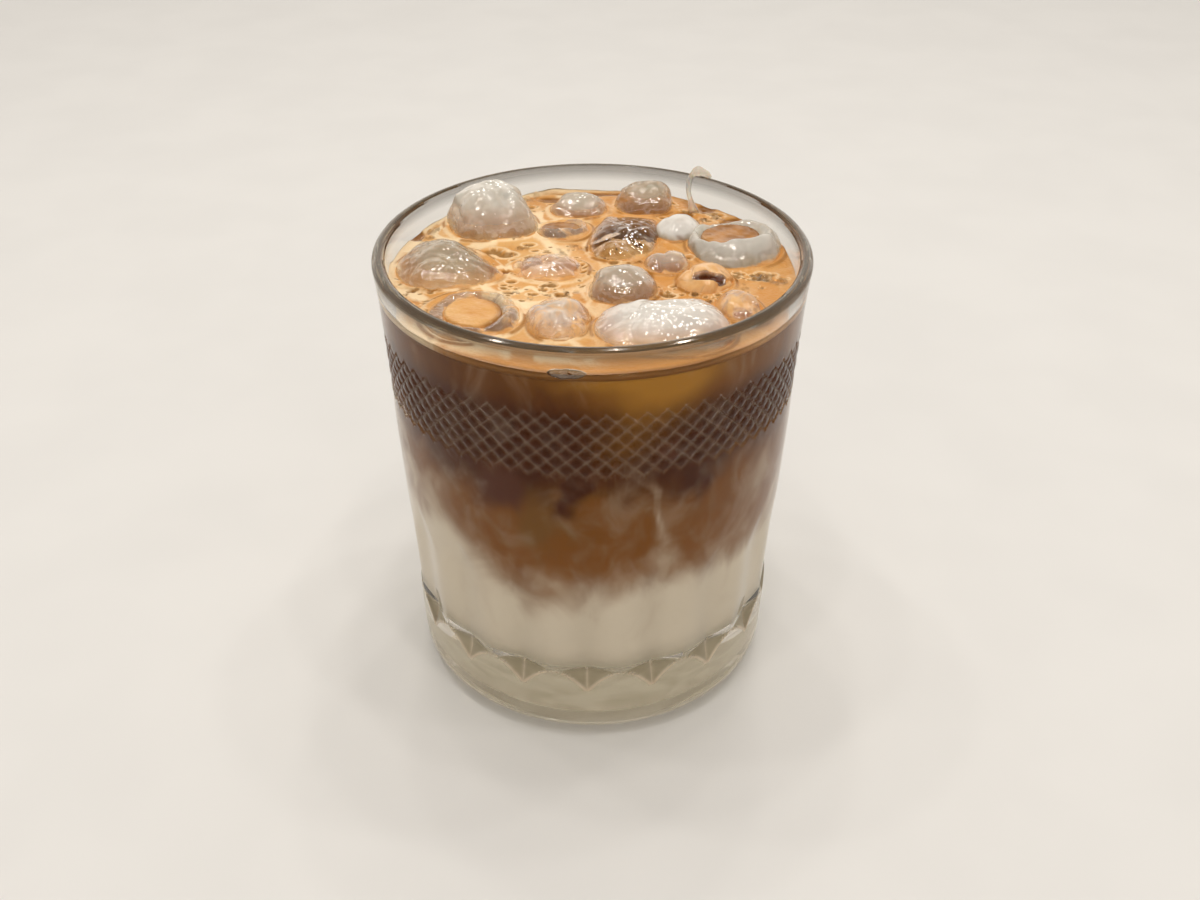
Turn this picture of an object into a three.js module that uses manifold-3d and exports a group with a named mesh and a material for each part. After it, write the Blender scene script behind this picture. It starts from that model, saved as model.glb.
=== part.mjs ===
// Iced coffee in a pressed glass tumbler: milk, coffee and crema in layers, melting ice on top.
// Millimetres, +Z up, origin at the middle of the foot, front towards -Y.
import * as THREE from 'three';
import { mergeVertices } from 'three/addons/utils/BufferGeometryUtils.js';
import Module from 'manifold-3d';

const wasm = await Module();
wasm.setup();
const { Manifold, Mesh: SolidMesh } = wasm;

// Clearance between any two neighbouring pieces
const gap = 0.3;

// Tumbler
const rimRadius = 42.5;
const height = 95;
const outerTaper = 0.0503;
const lipRadius = 1.3;
const innerTaper = 0.085;
const floorHeight = 15;
const floorCorner = 6;
const heelRadius = 6;
const footInner = 26;
const footBevel = 1.5;
const kick = 1.5;

// The moulded pattern repeats every 20 degrees, a little off the front
const patternTurn = THREE.MathUtils.degToRad(-1.6);
const coarse = 72;
const fine = 2 * coarse;
const smooth = coarse / 2;

// Band of small diamonds
const bandBottom = 67.8;
const diamondHeight = 3.45;
const bandHalfRows = 8;
const bandDeep = 0.55;
const bandInset = 0.12;
const bandMargin = 1.6;

// Eighteen lens-shaped mitre cuts round the lower wall
const lensEvery = 4;
const lensBottom = 13.7;
const lensTop = 45.7;
const lensDeep = 1.8;
const lensFoot = 7;
const lensHead = 9;

// Drink
const milkLine = 35.5;
const swirlHeight = 2.4;
const coffeeTop = 87.2;
const cremaThickness = 2;
const cremaRise = 0.35;
const meniscus = 0.5;

const wallRadius = (z) => rimRadius - outerTaper * (height - z);
const lipInner = rimRadius - 2 * lipRadius;
const boreRadius = (z) => lipInner - innerTaper * (height - lipRadius - z);
const cornerTop = floorHeight + floorCorner;
const cornerCentre = boreRadius(cornerTop) - floorCorner;

const around = (r, a, z) => new THREE.Vector3(r * Math.sin(a), -r * Math.cos(a), z);
const angleOf = (k, n) => patternTurn + (2 * Math.PI * k) / n;

// A ring of n points whose radius and height may change with the angle
function ring(n, radius, z) {
  const points = [];
  for (let k = 0; k < n; k++) {
    const a = angleOf(k, n);
    const h = typeof z === 'function' ? z(a, k) : z;
    const r = typeof radius === 'function' ? radius(a, h, k) : radius;
    points.push(around(r, a, h));
  }
  return points;
}

// Closed surface over rings given along the profile, with a pole at each end
function skin(firstPole, rings, lastPole, crossed = () => false) {
  const corners = [];
  const face = (...p) => corners.push(...p);
  const first = new THREE.Vector3(0, 0, firstPole);
  const last = new THREE.Vector3(0, 0, lastPole);
  const start = rings[0];
  const end = rings[rings.length - 1];
  start.forEach((p, k) => face(first, start[(k + 1) % start.length], p));
  for (let i = 0; i + 1 < rings.length; i++) {
    const low = rings[i];
    const high = rings[i + 1];
    const n = Math.min(low.length, high.length);
    for (let k = 0; k < n; k++) {
      const next = (k + 1) % n;
      if (low.length === high.length) {
        if (crossed(i, k)) {
          face(low[k], low[next], high[k]);
          face(low[next], high[next], high[k]);
        } else {
          face(low[k], low[next], high[next]);
          face(low[k], high[next], high[k]);
        }
      } else if (low.length < high.length) {
        const mid = high[2 * k + 1];
        face(low[k], low[next], mid);
        face(low[k], mid, high[2 * k]);
        face(low[next], high[(2 * k + 2) % high.length], mid);
      } else {
        const mid = low[2 * k + 1];
        face(low[2 * k], mid, high[k]);
        face(mid, high[next], high[k]);
        face(mid, low[(2 * k + 2) % low.length], high[next]);
      }
    }
  }
  end.forEach((p, k) => face(p, end[(k + 1) % end.length], last));
  return new THREE.BufferGeometry().setFromPoints(corners);
}

function toSolid(geometry) {
  const bare = new THREE.BufferGeometry();
  const flat = geometry.index ? geometry.toNonIndexed() : geometry;
  bare.setAttribute('position', flat.getAttribute('position').clone());
  const merged = mergeVertices(bare, 1e-4);
  return new Manifold(new SolidMesh({
    numProp: 3,
    vertProperties: new Float32Array(merged.attributes.position.array),
    triVerts: new Uint32Array(merged.index.array),
  }));
}

function toGeometry(solid) {
  const mesh = solid.getMesh();
  const geometry = new THREE.BufferGeometry();
  const positions = [];
  for (let v = 0; v < mesh.numVert; v++) {
    for (let c = 0; c < 3; c++) {
      positions.push(mesh.vertProperties[v * mesh.numProp + c]);
    }
  }
  geometry.setAttribute('position', new THREE.Float32BufferAttribute(positions, 3));
  geometry.setIndex(Array.from(mesh.triVerts));
  return geometry;
}

const largestBody = (solid) =>
  solid.decompose().sort((p, q) => q.volume() - p.volume())[0];

// Depth of the mitre cuts: a V across, pointed at both ends
const easeOut = (t) => 1 - (1 - THREE.MathUtils.clamp(t, 0, 1)) ** 2;

function lensDepth(k, z) {
  const along = easeOut((z - lensBottom) / lensFoot) * easeOut((lensTop - z) / lensHead);
  const step = k % lensEvery;
  const across = (2 * Math.min(step, lensEvery - step)) / lensEvery;
  return lensDeep * Math.max(0, along - across);
}

// Depth of the diamond band: grooves cross where row and column are both odd or both even
function bandDepth(k, j) {
  const edge = j === 0 || j === bandHalfRows;
  if ((k + j) % 2 === 0) return edge ? bandDeep / 2 : bandDeep;
  return edge ? 0 : bandInset;
}

function buildGlass() {
  const rings = [];
  rings.push(ring(smooth, footInner, kick));
  rings.push(ring(smooth, footInner + footBevel, 0));
  const heelCentre = wallRadius(heelRadius) - heelRadius;
  for (let i = 0; i <= 3; i++) {
    const t = (Math.PI / 2) * (1 - i / 3);
    const n = i < 1 ? smooth : coarse;
    rings.push(ring(n, heelCentre + heelRadius * Math.cos(t), heelRadius * (1 - Math.sin(t))));
  }
  for (const z of [lensBottom, 15.5, 18, 21, 36.5, 42, lensTop]) {
    rings.push(ring(coarse, (a, h, k) => wallRadius(h) - lensDepth(k, h), z));
  }
  rings.push(ring(coarse, wallRadius(bandBottom - bandMargin), bandBottom - bandMargin));
  const bandStart = rings.length;
  for (let j = 0; j <= bandHalfRows; j++) {
    const z = bandBottom + (j * diamondHeight) / 2;
    rings.push(ring(fine, (a, h, k) => wallRadius(h) - bandDepth(k, j), z));
  }
  const bandTop = bandBottom + (bandHalfRows * diamondHeight) / 2;
  rings.push(ring(coarse, wallRadius(bandTop + bandMargin), bandTop + bandMargin));
  for (let i = 0; i <= 4; i++) {
    const t = (Math.PI * i) / 4;
    const r = rimRadius - lipRadius + lipRadius * Math.cos(t);
    rings.push(ring(i < 3 ? coarse : smooth, r, height - lipRadius + lipRadius * Math.sin(t)));
  }
  for (let i = 0; i <= 3; i++) {
    const t = ((Math.PI / 2) * i) / 3;
    const r = cornerCentre + floorCorner * Math.cos(t);
    rings.push(ring(smooth, r, cornerTop - floorCorner * Math.sin(t)));
  }
  const crossed = (i, k) => i >= bandStart && (i - bandStart + k) % 2 === 1;
  return skin(kick, rings, floorHeight, crossed);
}

// Height of the swirled line between milk and coffee
function milkHeight(a, r) {
  const reach = r / boreRadius(milkLine);
  const swirl = Math.sin(2 * a + 0.6) + 0.5 * Math.sin(5 * a + 2.1);
  return milkLine + swirlHeight * reach * swirl * 0.7;
}

const fillRadius = (z) => boreRadius(z) - gap;

function buildMilk() {
  const rings = [];
  for (let i = 3; i >= 0; i--) {
    const t = ((Math.PI / 2) * i) / 3;
    const r = cornerCentre + (floorCorner - gap) * Math.cos(t);
    rings.push(ring(smooth, r, cornerTop - (floorCorner - gap) * Math.sin(t)));
  }
  for (const share of [1, 0.6]) {
    const reach = share * fillRadius(milkLine);
    const z = (a) => milkHeight(a, reach);
    rings.push(ring(smooth, (a, h) => (share === 1 ? fillRadius(h) : reach), z));
  }
  return skin(floorHeight + gap, rings, milkHeight(0, 0));
}

function buildCoffee() {
  const rings = [];
  for (const share of [0.6, 1]) {
    const reach = share * fillRadius(milkLine);
    const z = (a) => milkHeight(a, reach) + gap;
    rings.push(ring(smooth, (a, h) => (share === 1 ? fillRadius(h) : reach), z));
  }
  rings.push(ring(smooth, fillRadius(coffeeTop), coffeeTop));
  return skin(milkHeight(0, 0) + gap, rings, coffeeTop);
}

// The crema lies on the coffee, climbs a little at the wall and is uneven on top
function cremaHeight(a, r) {
  const x = r * Math.sin(a);
  const y = -r * Math.cos(a);
  const uneven = Math.sin(0.31 * x + 0.9) * Math.cos(0.27 * y - 0.4);
  const climb = meniscus * Math.max(0, r / fillRadius(coffeeTop) - 0.8) / 0.2;
  return coffeeTop + gap + cremaThickness + cremaRise * uneven + climb;
}

function buildCrema() {
  const rings = [];
  const under = coffeeTop + gap;
  rings.push(ring(smooth, fillRadius(under), under));
  for (const share of [1, 0.75]) {
    const reach = share * fillRadius(under);
    rings.push(ring(smooth, reach, (a) => cremaHeight(a, reach)));
  }
  return skin(under, rings, cremaHeight(0, 0));
}

// Melting ice: rounded lumps, each with its place, half sizes, turn and hollow if it has one
const ice = [
  { name: 'ice_back_left', at: [-21.4, 21.6, 90.2], half: [9.2, 8.6, 7.6], turn: 20, seed: 1 },
  { name: 'ice_left_disc', at: [-27.2, -0.6, 88.7], half: [10.4, 8.8, 5], turn: -18, seed: 2 },
  { name: 'ice_left_ring', at: [-21.8, -19.6, 88.3], half: [8.4, 9.2, 4], turn: 35, seed: 3,
    hollow: { at: [0, 0, 3.2], half: [5.2, 4.2, 3] } },
  { name: 'ice_right_ring', at: [28.4, 9.6, 89.4], half: [9.2, 9.2, 5.4], turn: 15, seed: 4,
    hollow: { at: [-2.4, 3, 4.2], half: [6, 5, 4.4] } },
  { name: 'ice_front_egg', at: [12.8, -24.2, 89], half: [11.8, 9, 5.2], turn: 8, seed: 5 },
  { name: 'ice_centre_dome', at: [5.8, -9.6, 89.5], half: [6.2, 5.6, 4.8], turn: 10, seed: 6 },
  { name: 'ice_front_left', at: [-6.3, -21.2, 88.8], half: [5.2, 7.2, 4.2], turn: 0, seed: 7 },
  { name: 'ice_clear_chunk', at: [6.4, 12.8, 88.2], half: [6.2, 9.6, 4.6], turn: -12, seed: 8 },
  { name: 'ice_small_oval', at: [18, 17, 89.3], half: [4.6, 3.8, 3.8], turn: 25, seed: 9 },
  { name: 'ice_clear_small', at: [14.6, 1.4, 88.9], half: [3.8, 3.8, 3.4], turn: 0, seed: 10 },
  { name: 'ice_back_lump', at: [11, 30.6, 89.8], half: [5.6, 5.3, 4.7], turn: 0, seed: 11 },
  { name: 'ice_back_flat', at: [-2.8, 28.4, 89.2], half: [5.6, 4.2, 3.4], turn: 12, seed: 12 },
  { name: 'ice_clear_flat', at: [-8.4, -0.4, 88.7], half: [7, 4.8, 3], turn: -8, seed: 13 },
  { name: 'ice_slit_dome', at: [21.8, -6.2, 88.7], half: [5.2, 4.7, 4.4], turn: 0, seed: 14 },
  { name: 'ice_right_lump', at: [26.8, -17, 88.6], half: [4, 4.9, 3.6], turn: 20, seed: 15 },
  { name: 'ice_back_hollow', at: [-5.8, 17.6, 88.4], half: [5.2, 4.6, 3.2], turn: 0, seed: 16 },
];

// A rounded lump with three soft swells
function lump(half, seed) {
  const geometry = new THREE.SphereGeometry(1, lumpSides, lumpRows).rotateX(Math.PI / 2);
  const p = geometry.getAttribute('position');
  const v = new THREE.Vector3();
  for (let i = 0; i < p.count; i++) {
    v.fromBufferAttribute(p, i).normalize();
    const swell = 0.04 * Math.sin(2.3 * v.x + 1.7 * seed)
      + 0.03 * Math.sin(2.9 * v.y + 2.3 * seed)
      + 0.03 * Math.sin(2.6 * v.z + 0.8 * seed);
    v.multiplyScalar(0.98 + swell);
    p.setXYZ(i, v.x * half[0], v.y * half[1], v.z * half[2]);
  }
  return geometry;
}

const place = (geometry, piece) => geometry
  .rotateZ(THREE.MathUtils.degToRad(piece.turn))
  .translate(...piece.at);

const lumpSides = 12;
const lumpRows = 7;
const pocketSides = 8;
const pocketGrowth = 1.17;

function buildIce(piece) {
  const body = toSolid(place(lump(piece.half, piece.seed), piece));
  if (!piece.hollow) return body;
  const scoop = lump(piece.hollow.half, piece.seed + 20);
  scoop.translate(...piece.hollow.at);
  return body.subtract(toSolid(place(scoop, piece)));
}

// The pocket a lump sits in: an upright oval from under the lump to above the crema
function icePocket(piece) {
  const [a, b, c] = piece.half.map((h) => h * pocketGrowth + gap);
  const pocket = new THREE.CylinderGeometry(1, 1, 2 * c, pocketSides);
  pocket.rotateX(Math.PI / 2).scale(a, b, 1);
  return toSolid(place(pocket, piece));
}

// A dribble of cream hangs over the back of the rim and runs down the bore into the crema
const dribblePath = [
  [21.4, 28.2, 92.1],
  [21.2, 30.6, 92.2],
  [20.9, 32.2, 93.2],
  [21.3, 33.4, 95.4],
  [22.7, 34.2, 96.3],
  [24.7, 34.6, 95.9],
  [26.6, 34.4, 94.2],
];
const dribbleWidth = [1, 0.9, 0.8, 1.1, 1.9, 1.3, 0.6];
const dribbleSides = 6;
const dribbleSteps = 10;

function buildDribble() {
  const curve = new THREE.CatmullRomCurve3(dribblePath.map((p) => new THREE.Vector3(...p)));
  const tube = new THREE.TubeGeometry(curve, dribbleSteps, 1, dribbleSides, false);
  const p = tube.getAttribute('position');
  const corners = [];
  const rows = [];
  const v = new THREE.Vector3();
  for (let i = 0; i <= dribbleSteps; i++) {
    const t = i / dribbleSteps;
    const centre = curve.getPointAt(t);
    const spot = t * (dribbleWidth.length - 1);
    const left = Math.min(Math.floor(spot), dribbleWidth.length - 2);
    const width = THREE.MathUtils.lerp(dribbleWidth[left], dribbleWidth[left + 1], spot - left);
    const row = [];
    for (let s = 0; s < dribbleSides; s++) {
      v.fromBufferAttribute(p, i * (dribbleSides + 1) + s).sub(centre).multiplyScalar(width);
      row.push(v.clone().add(centre));
    }
    rows.push(row);
  }
  const start = curve.getPointAt(0);
  const end = curve.getPointAt(1);
  for (let s = 0; s < dribbleSides; s++) {
    const next = (s + 1) % dribbleSides;
    corners.push(start, rows[0][s], rows[0][next]);
    corners.push(end, rows[dribbleSteps][next], rows[dribbleSteps][s]);
    for (let i = 0; i < dribbleSteps; i++) {
      corners.push(rows[i][s], rows[i + 1][s], rows[i + 1][next]);
      corners.push(rows[i][s], rows[i + 1][next], rows[i][next]);
    }
  }
  const strand = toSolid(new THREE.BufferGeometry().setFromPoints(corners));
  return strand.volume() < 0 ? strand.mirror([0, 0, 0]) : strand;
}

// The lip of the rim, grown by the clearance, kept out of the dribble
function lipKeepOut() {
  const depth = 8;
  const low = height - depth;
  const grown = lipRadius + 2 * gap;
  const rings = [ring(coarse, wallRadius(low) + 2 * gap, low)];
  for (let i = 0; i <= 6; i++) {
    const t = (Math.PI * i) / 6;
    const r = rimRadius - lipRadius + grown * Math.cos(t);
    rings.push(ring(coarse, r, height - lipRadius + grown * Math.sin(t)));
  }
  rings.push(ring(coarse, boreRadius(low) - 2 * gap, low));
  return toSolid(skin(low, rings, low - 1)).subtract(
    toSolid(skin(low - 2, [
      ring(coarse, boreRadius(low) - 2 * gap, low - 2),
      ring(coarse, boreRadius(low) - 2 * gap, low),
      ring(coarse, lipInner - 2 * gap, height - lipRadius),
      ring(coarse, lipInner - 2 * gap, height + 4),
    ], height + 4)),
  );
}

const finish = (color, roughness) => new THREE.MeshStandardMaterial({ color, roughness, metalness: 0 });
const clearGlass = new THREE.MeshStandardMaterial({
  color: 0xe6e8e4, roughness: 0.04, metalness: 0, transparent: true, opacity: 0.35,
});
const milkWhite = finish(0xbeaf96, 0.3);
const coffeeBrown = finish(0x55321f, 0.25);
const cremaTan = finish(0xe1b478, 0.5);
const iceWhite = finish(0xd2cdc4, 0.12);
const creamPale = finish(0xe8dcc8, 0.25);

const part = new THREE.Group();
part.name = 'iced_coffee';

function add(name, geometry, material) {
  const flat = geometry.index ? geometry.toNonIndexed() : geometry;
  flat.computeVertexNormals();
  const mesh = new THREE.Mesh(flat, material);
  mesh.name = name;
  part.add(mesh);
}

const pockets = ice.map(icePocket);
const cutRoundIce = (geometry) =>
  largestBody(Manifold.difference([toSolid(geometry), ...pockets]));

add('glass', buildGlass(), clearGlass);
add('milk', buildMilk(), milkWhite);
add('coffee', toGeometry(cutRoundIce(buildCoffee())), coffeeBrown);
add('crema', toGeometry(cutRoundIce(buildCrema())), cremaTan);
for (const piece of ice) {
  add(piece.name, toGeometry(buildIce(piece)), iceWhite);
}
add('rim_dribble', toGeometry(largestBody(buildDribble().subtract(lipKeepOut()))), creamPale);

export default part;
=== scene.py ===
"""Iced coffee in a pressed glass tumbler: glass, layered drink, crema, melting ice and a dribble."""

import math

import bmesh
import bpy
import numpy as np
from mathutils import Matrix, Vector


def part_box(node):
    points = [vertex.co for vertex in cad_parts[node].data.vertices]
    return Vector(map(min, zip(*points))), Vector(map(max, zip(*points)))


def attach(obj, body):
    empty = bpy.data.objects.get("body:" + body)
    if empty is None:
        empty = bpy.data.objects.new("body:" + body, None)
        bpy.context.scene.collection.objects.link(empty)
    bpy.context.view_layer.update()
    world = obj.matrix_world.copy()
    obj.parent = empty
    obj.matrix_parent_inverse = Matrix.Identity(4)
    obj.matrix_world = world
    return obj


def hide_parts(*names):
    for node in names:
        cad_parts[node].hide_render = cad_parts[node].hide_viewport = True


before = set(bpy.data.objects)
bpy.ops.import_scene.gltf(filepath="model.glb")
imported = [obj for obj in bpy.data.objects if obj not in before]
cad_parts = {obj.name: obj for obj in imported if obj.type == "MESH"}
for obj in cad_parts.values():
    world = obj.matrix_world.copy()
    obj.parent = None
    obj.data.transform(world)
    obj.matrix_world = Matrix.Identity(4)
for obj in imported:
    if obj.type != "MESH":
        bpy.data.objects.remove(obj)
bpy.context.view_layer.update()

bl_info = {
    "name": "Iced Coffee Tumbler",
    "version": (1, 0, 0),
    "blender": (4, 5, 0),
    "location": "View3D > Sidebar > Iced Coffee",
    "description": "Builds an iced coffee with melting ice in a pressed glass tumbler",
    "category": "Object",
}

MM = 0.001
GLASS_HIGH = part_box("glass")[1]


def mm(length):
    """A property's length in millimetres."""
    return length / MM


def length_prop(name, text, millimetres):
    """A length property with its default given in millimetres."""
    return bpy.props.FloatProperty(
        name=name, description=text, default=millimetres * MM, unit="LENGTH", precision=5
    )


def colour_prop(name, text, rgb):
    """A colour property; the default is linear red, green and blue."""
    return bpy.props.FloatVectorProperty(
        name=name, description=text, default=rgb, size=3, subtype="COLOR", min=0.0, max=1.0
    )


def display(red, green, blue):
    """Linear colour of a display colour given from 0 to 255."""
    def linear(level):
        level = level / 255
        return level / 12.92 if level <= 0.04045 else ((level + 0.055) / 1.055) ** 2.4
    return (linear(red), linear(green), linear(blue))


class TumblerSizes(bpy.types.PropertyGroup):
    """Sizes of the tumbler."""

    rim_radius: length_prop("Rim radius", "Outer radius of the rim", mm(GLASS_HIGH.x))
    height: length_prop("Height", "Height of the rim", mm(GLASS_HIGH.z))
    lip: length_prop("Lip radius", "Radius of the rounded lip", 1.3)
    floor: length_prop("Floor height", "Height of the inner floor", 15.0)
    corner: length_prop("Inner corner", "Radius between inner wall and floor", 6.0)
    heel: length_prop("Heel radius", "Radius between outer wall and foot", 6.0)
    kick: length_prop("Kick", "Depth of the recess under the foot", 1.5)
    band_bottom: length_prop("Band bottom", "Lower edge of the diamond band", 67.8)
    diamond: length_prop("Diamond height", "Height of one diamond", 3.45)
    band_depth: length_prop("Groove depth", "Depth of the grooves between the diamonds", 0.5)
    lens_bottom: length_prop("Cut bottom", "Lower tip of the lens cuts", 13.7)
    lens_top: length_prop("Cut top", "Upper tip of the lens cuts", 45.7)
    lens_depth: length_prop("Cut depth", "Depth of the lens cuts", 1.3)
    outer_taper: bpy.props.FloatProperty(
        name="Outer taper", description="Outer radius lost per unit of depth", default=0.0503
    )
    bore_taper: bpy.props.FloatProperty(
        name="Bore taper", description="Inner radius lost per unit of depth", default=0.085
    )
    pattern_turn: bpy.props.FloatProperty(
        name="Pattern turn", description="Turn of the moulded pattern from the front",
        default=math.radians(-1.6), subtype="ANGLE",
    )


class DrinkLook(bpy.types.PropertyGroup):
    """Levels and colours of the drink."""

    level: length_prop("Crema level", "Height of the crema", 89.3)
    crema_side: length_prop("Crema side", "Thickness of the crema at the wall", 1.2)
    milk: colour_prop("Milk", "Milk at the bottom", (0.93, 0.85, 0.71))
    # painted light: the lighter underside of the milk stands in for light scattered down through the
    # milk
    under: colour_prop("Milk floor", "Underside of the milk", (0.97, 0.9, 0.73))
    coffee: colour_prop("Coffee", "Coffee in the middle", (0.28, 0.105, 0.017))
    olive: colour_prop("Olive coffee", "Coffee with a little milk", (0.25, 0.115, 0.026))
    plum: colour_prop("Plum coffee", "Dark patches under the band", (0.13, 0.042, 0.024))
    dark: colour_prop("Dark coffee", "Darkest coffee", (0.085, 0.018, 0.004))
    # the pale colour serves real milky wisps and, at both sides, painted light
    pale: colour_prop("Pale wisps", "Milky wisps and sides", (0.67, 0.54, 0.405))
    gold: colour_prop("Golden coffee", "Coffee lit through the ice", (0.56, 0.265, 0.038))
    foam: colour_prop("Crema", "Main colour of the crema", display(224, 178, 118))
    toffee: colour_prop("Toffee", "Darker crema", display(206, 144, 72))
    lace: colour_prop("Lacing", "Pale foam", display(242, 216, 176))
    hollow: colour_prop("Bubble hollows", "Dark holes in the crema", display(146, 106, 54))
    pool: colour_prop("Open coffee", "Coffee showing through the crema", display(138, 88, 34))
    deep: colour_prop("Deep coffee", "Coffee under the clear ice", display(72, 50, 20))


class IceLook(bpy.types.PropertyGroup):
    """Colours of the ice and the dribble."""

    cloud: colour_prop("Cloudy ice", "Whitest ice", (0.66, 0.65, 0.62))
    stain: colour_prop("Stained ice", "Ice stained by the coffee", (0.33, 0.3, 0.225))
    clear: colour_prop("Clear ice", "Clear ice", (0.92, 0.945, 0.86))
    # painted light: the warm foot of each lump stands in for lit crema seen through the ice
    warm: colour_prop("Warm edge", "Ice edges with the crema behind them", (0.44, 0.4, 0.28))
    amber: colour_prop("Amber ice", "Clear ice stained by the coffee", (0.48, 0.45, 0.26))
    cream: colour_prop("Dribble", "Pale strand over the rim", display(240, 228, 206))


# Mesh helpers: all points are in millimetres until they become a mesh


def smoothstep(low, high, value):
    """0 at low and 1 at high, with soft ends."""
    t = np.clip((value - low) / (high - low), 0.0, 1.0)
    return t * t * (3.0 - 2.0 * t)


def ease_out(value):
    """Rises quickly from 0, then levels out at 1."""
    return 1.0 - (1.0 - np.clip(value, 0.0, 1.0)) ** 2


def lattice_value(ix, iy, iz, seed):
    """Repeatable random value from 0 to 1 at whole-numbered places."""
    mixed = (ix * 374761393 + iy * 668265263 + iz * 1440662683 + seed * 974634777) & 0xFFFFFFFF
    mixed = ((mixed ^ (mixed >> 13)) * 1274126177) & 0xFFFFFFFF
    return ((mixed ^ (mixed >> 16)) & 0xFFFF) / 65535.0


def noise(points, size, seed=0, octaves=1):
    """Smooth noise from 0 to 1 with features of about the given size."""
    total = np.zeros(len(points))
    weight = 0.0
    share = 1.0
    for octave in range(octaves):
        q = points / (size * 0.5**octave)
        cell = np.floor(q).astype(np.int64)
        f = q - cell
        f = f * f * (3.0 - 2.0 * f)
        value = np.zeros(len(points))
        for corner in range(8):
            dx, dy, dz = corner & 1, (corner >> 1) & 1, corner >> 2
            wx = f[:, 0] if dx else 1.0 - f[:, 0]
            wy = f[:, 1] if dy else 1.0 - f[:, 1]
            wz = f[:, 2] if dz else 1.0 - f[:, 2]
            place = lattice_value(
                cell[:, 0] + dx, cell[:, 1] + dy, cell[:, 2] + dz, seed + 17 * octave
            )
            value += wx * wy * wz * place
        total += share * value
        weight += share
        share *= 0.5
    return total / weight


def ring_points(radii, angles, heights):
    """Points round the axis; the angle starts at the front and grows to the right."""
    return np.stack([radii * np.sin(angles), -radii * np.cos(angles), heights], axis=-1)


def ring_faces(rows, columns):
    """Quads between neighbouring rings, facing out when the rings go up the outside."""
    i, k = np.meshgrid(np.arange(rows - 1), np.arange(columns), indexing="ij")
    n = (k + 1) % columns
    low, high = i * columns, (i + 1) * columns
    return np.stack([low + k, low + n, high + n, high + k], axis=-1).reshape(-1, 4)


def pole_faces(ring_start, columns, pole, first):
    """Triangles from a ring to the pole that closes it."""
    k = np.arange(columns)
    here, after = ring_start + k, ring_start + (k + 1) % columns
    tip = np.full(columns, pole)
    order = [tip, after, here] if first else [here, after, tip]
    return np.stack(order, axis=-1)


def capped_faces(rows, columns):
    """Faces of stacked rings closed by two poles, which are the last two points."""
    pole = rows * columns
    faces = ring_faces(rows, columns).tolist()
    faces += pole_faces(0, columns, pole, True).tolist()
    return faces + pole_faces((rows - 1) * columns, columns, pole + 1, False).tolist()


def full_turn(count):
    """Evenly spaced angles of one whole turn."""
    return np.arange(count) * 2.0 * math.pi / count


def make_piece(name, points, faces, finish, masks=None, sharp=None):
    """A smooth mesh object with float masks on its points."""
    mesh = bpy.data.meshes.new(name)
    mesh.from_pydata((np.asarray(points) * MM).tolist(), [], faces)
    mesh.update()
    mesh.polygons.foreach_set("use_smooth", [True] * len(mesh.polygons))
    if sharp is not None:
        mesh.set_sharp_from_angle(angle=sharp)
    for mask, values in (masks or {}).items():
        layer = mesh.attributes.new(mask, "FLOAT", "POINT")
        layer.data.foreach_set("value", np.asarray(values, np.float32))
    mesh.materials.append(finish)
    piece = bpy.data.objects.new(name, mesh)
    bpy.context.scene.collection.objects.link(piece)
    return piece


def seat(piece, slot, *nodes):
    """Ties a piece to the root body and hides the nodes that it stands for."""
    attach(piece, "root")
    if nodes:
        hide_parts(*nodes)
    return piece


# Shader expressions


class Value:
    """A number socket that takes part in Python arithmetic."""

    def __init__(self, finish, socket):
        self.finish = finish
        self.socket = socket

    def _math(self, operation, first, second):
        return self.finish.node("ShaderNodeMath", {"operation": operation}, {0: first, 1: second})

    def __add__(self, other):
        return self._math("ADD", self, other)

    def __radd__(self, other):
        return self._math("ADD", other, self)

    def __sub__(self, other):
        return self._math("SUBTRACT", self, other)

    def __rsub__(self, other):
        return self._math("SUBTRACT", other, self)

    def __mul__(self, other):
        return self._math("MULTIPLY", self, other)

    def __rmul__(self, other):
        return self._math("MULTIPLY", other, self)

    def clamp(self):
        return self.finish.node("ShaderNodeClamp", None, {0: self, 1: 0.0, 2: 1.0})


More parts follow.
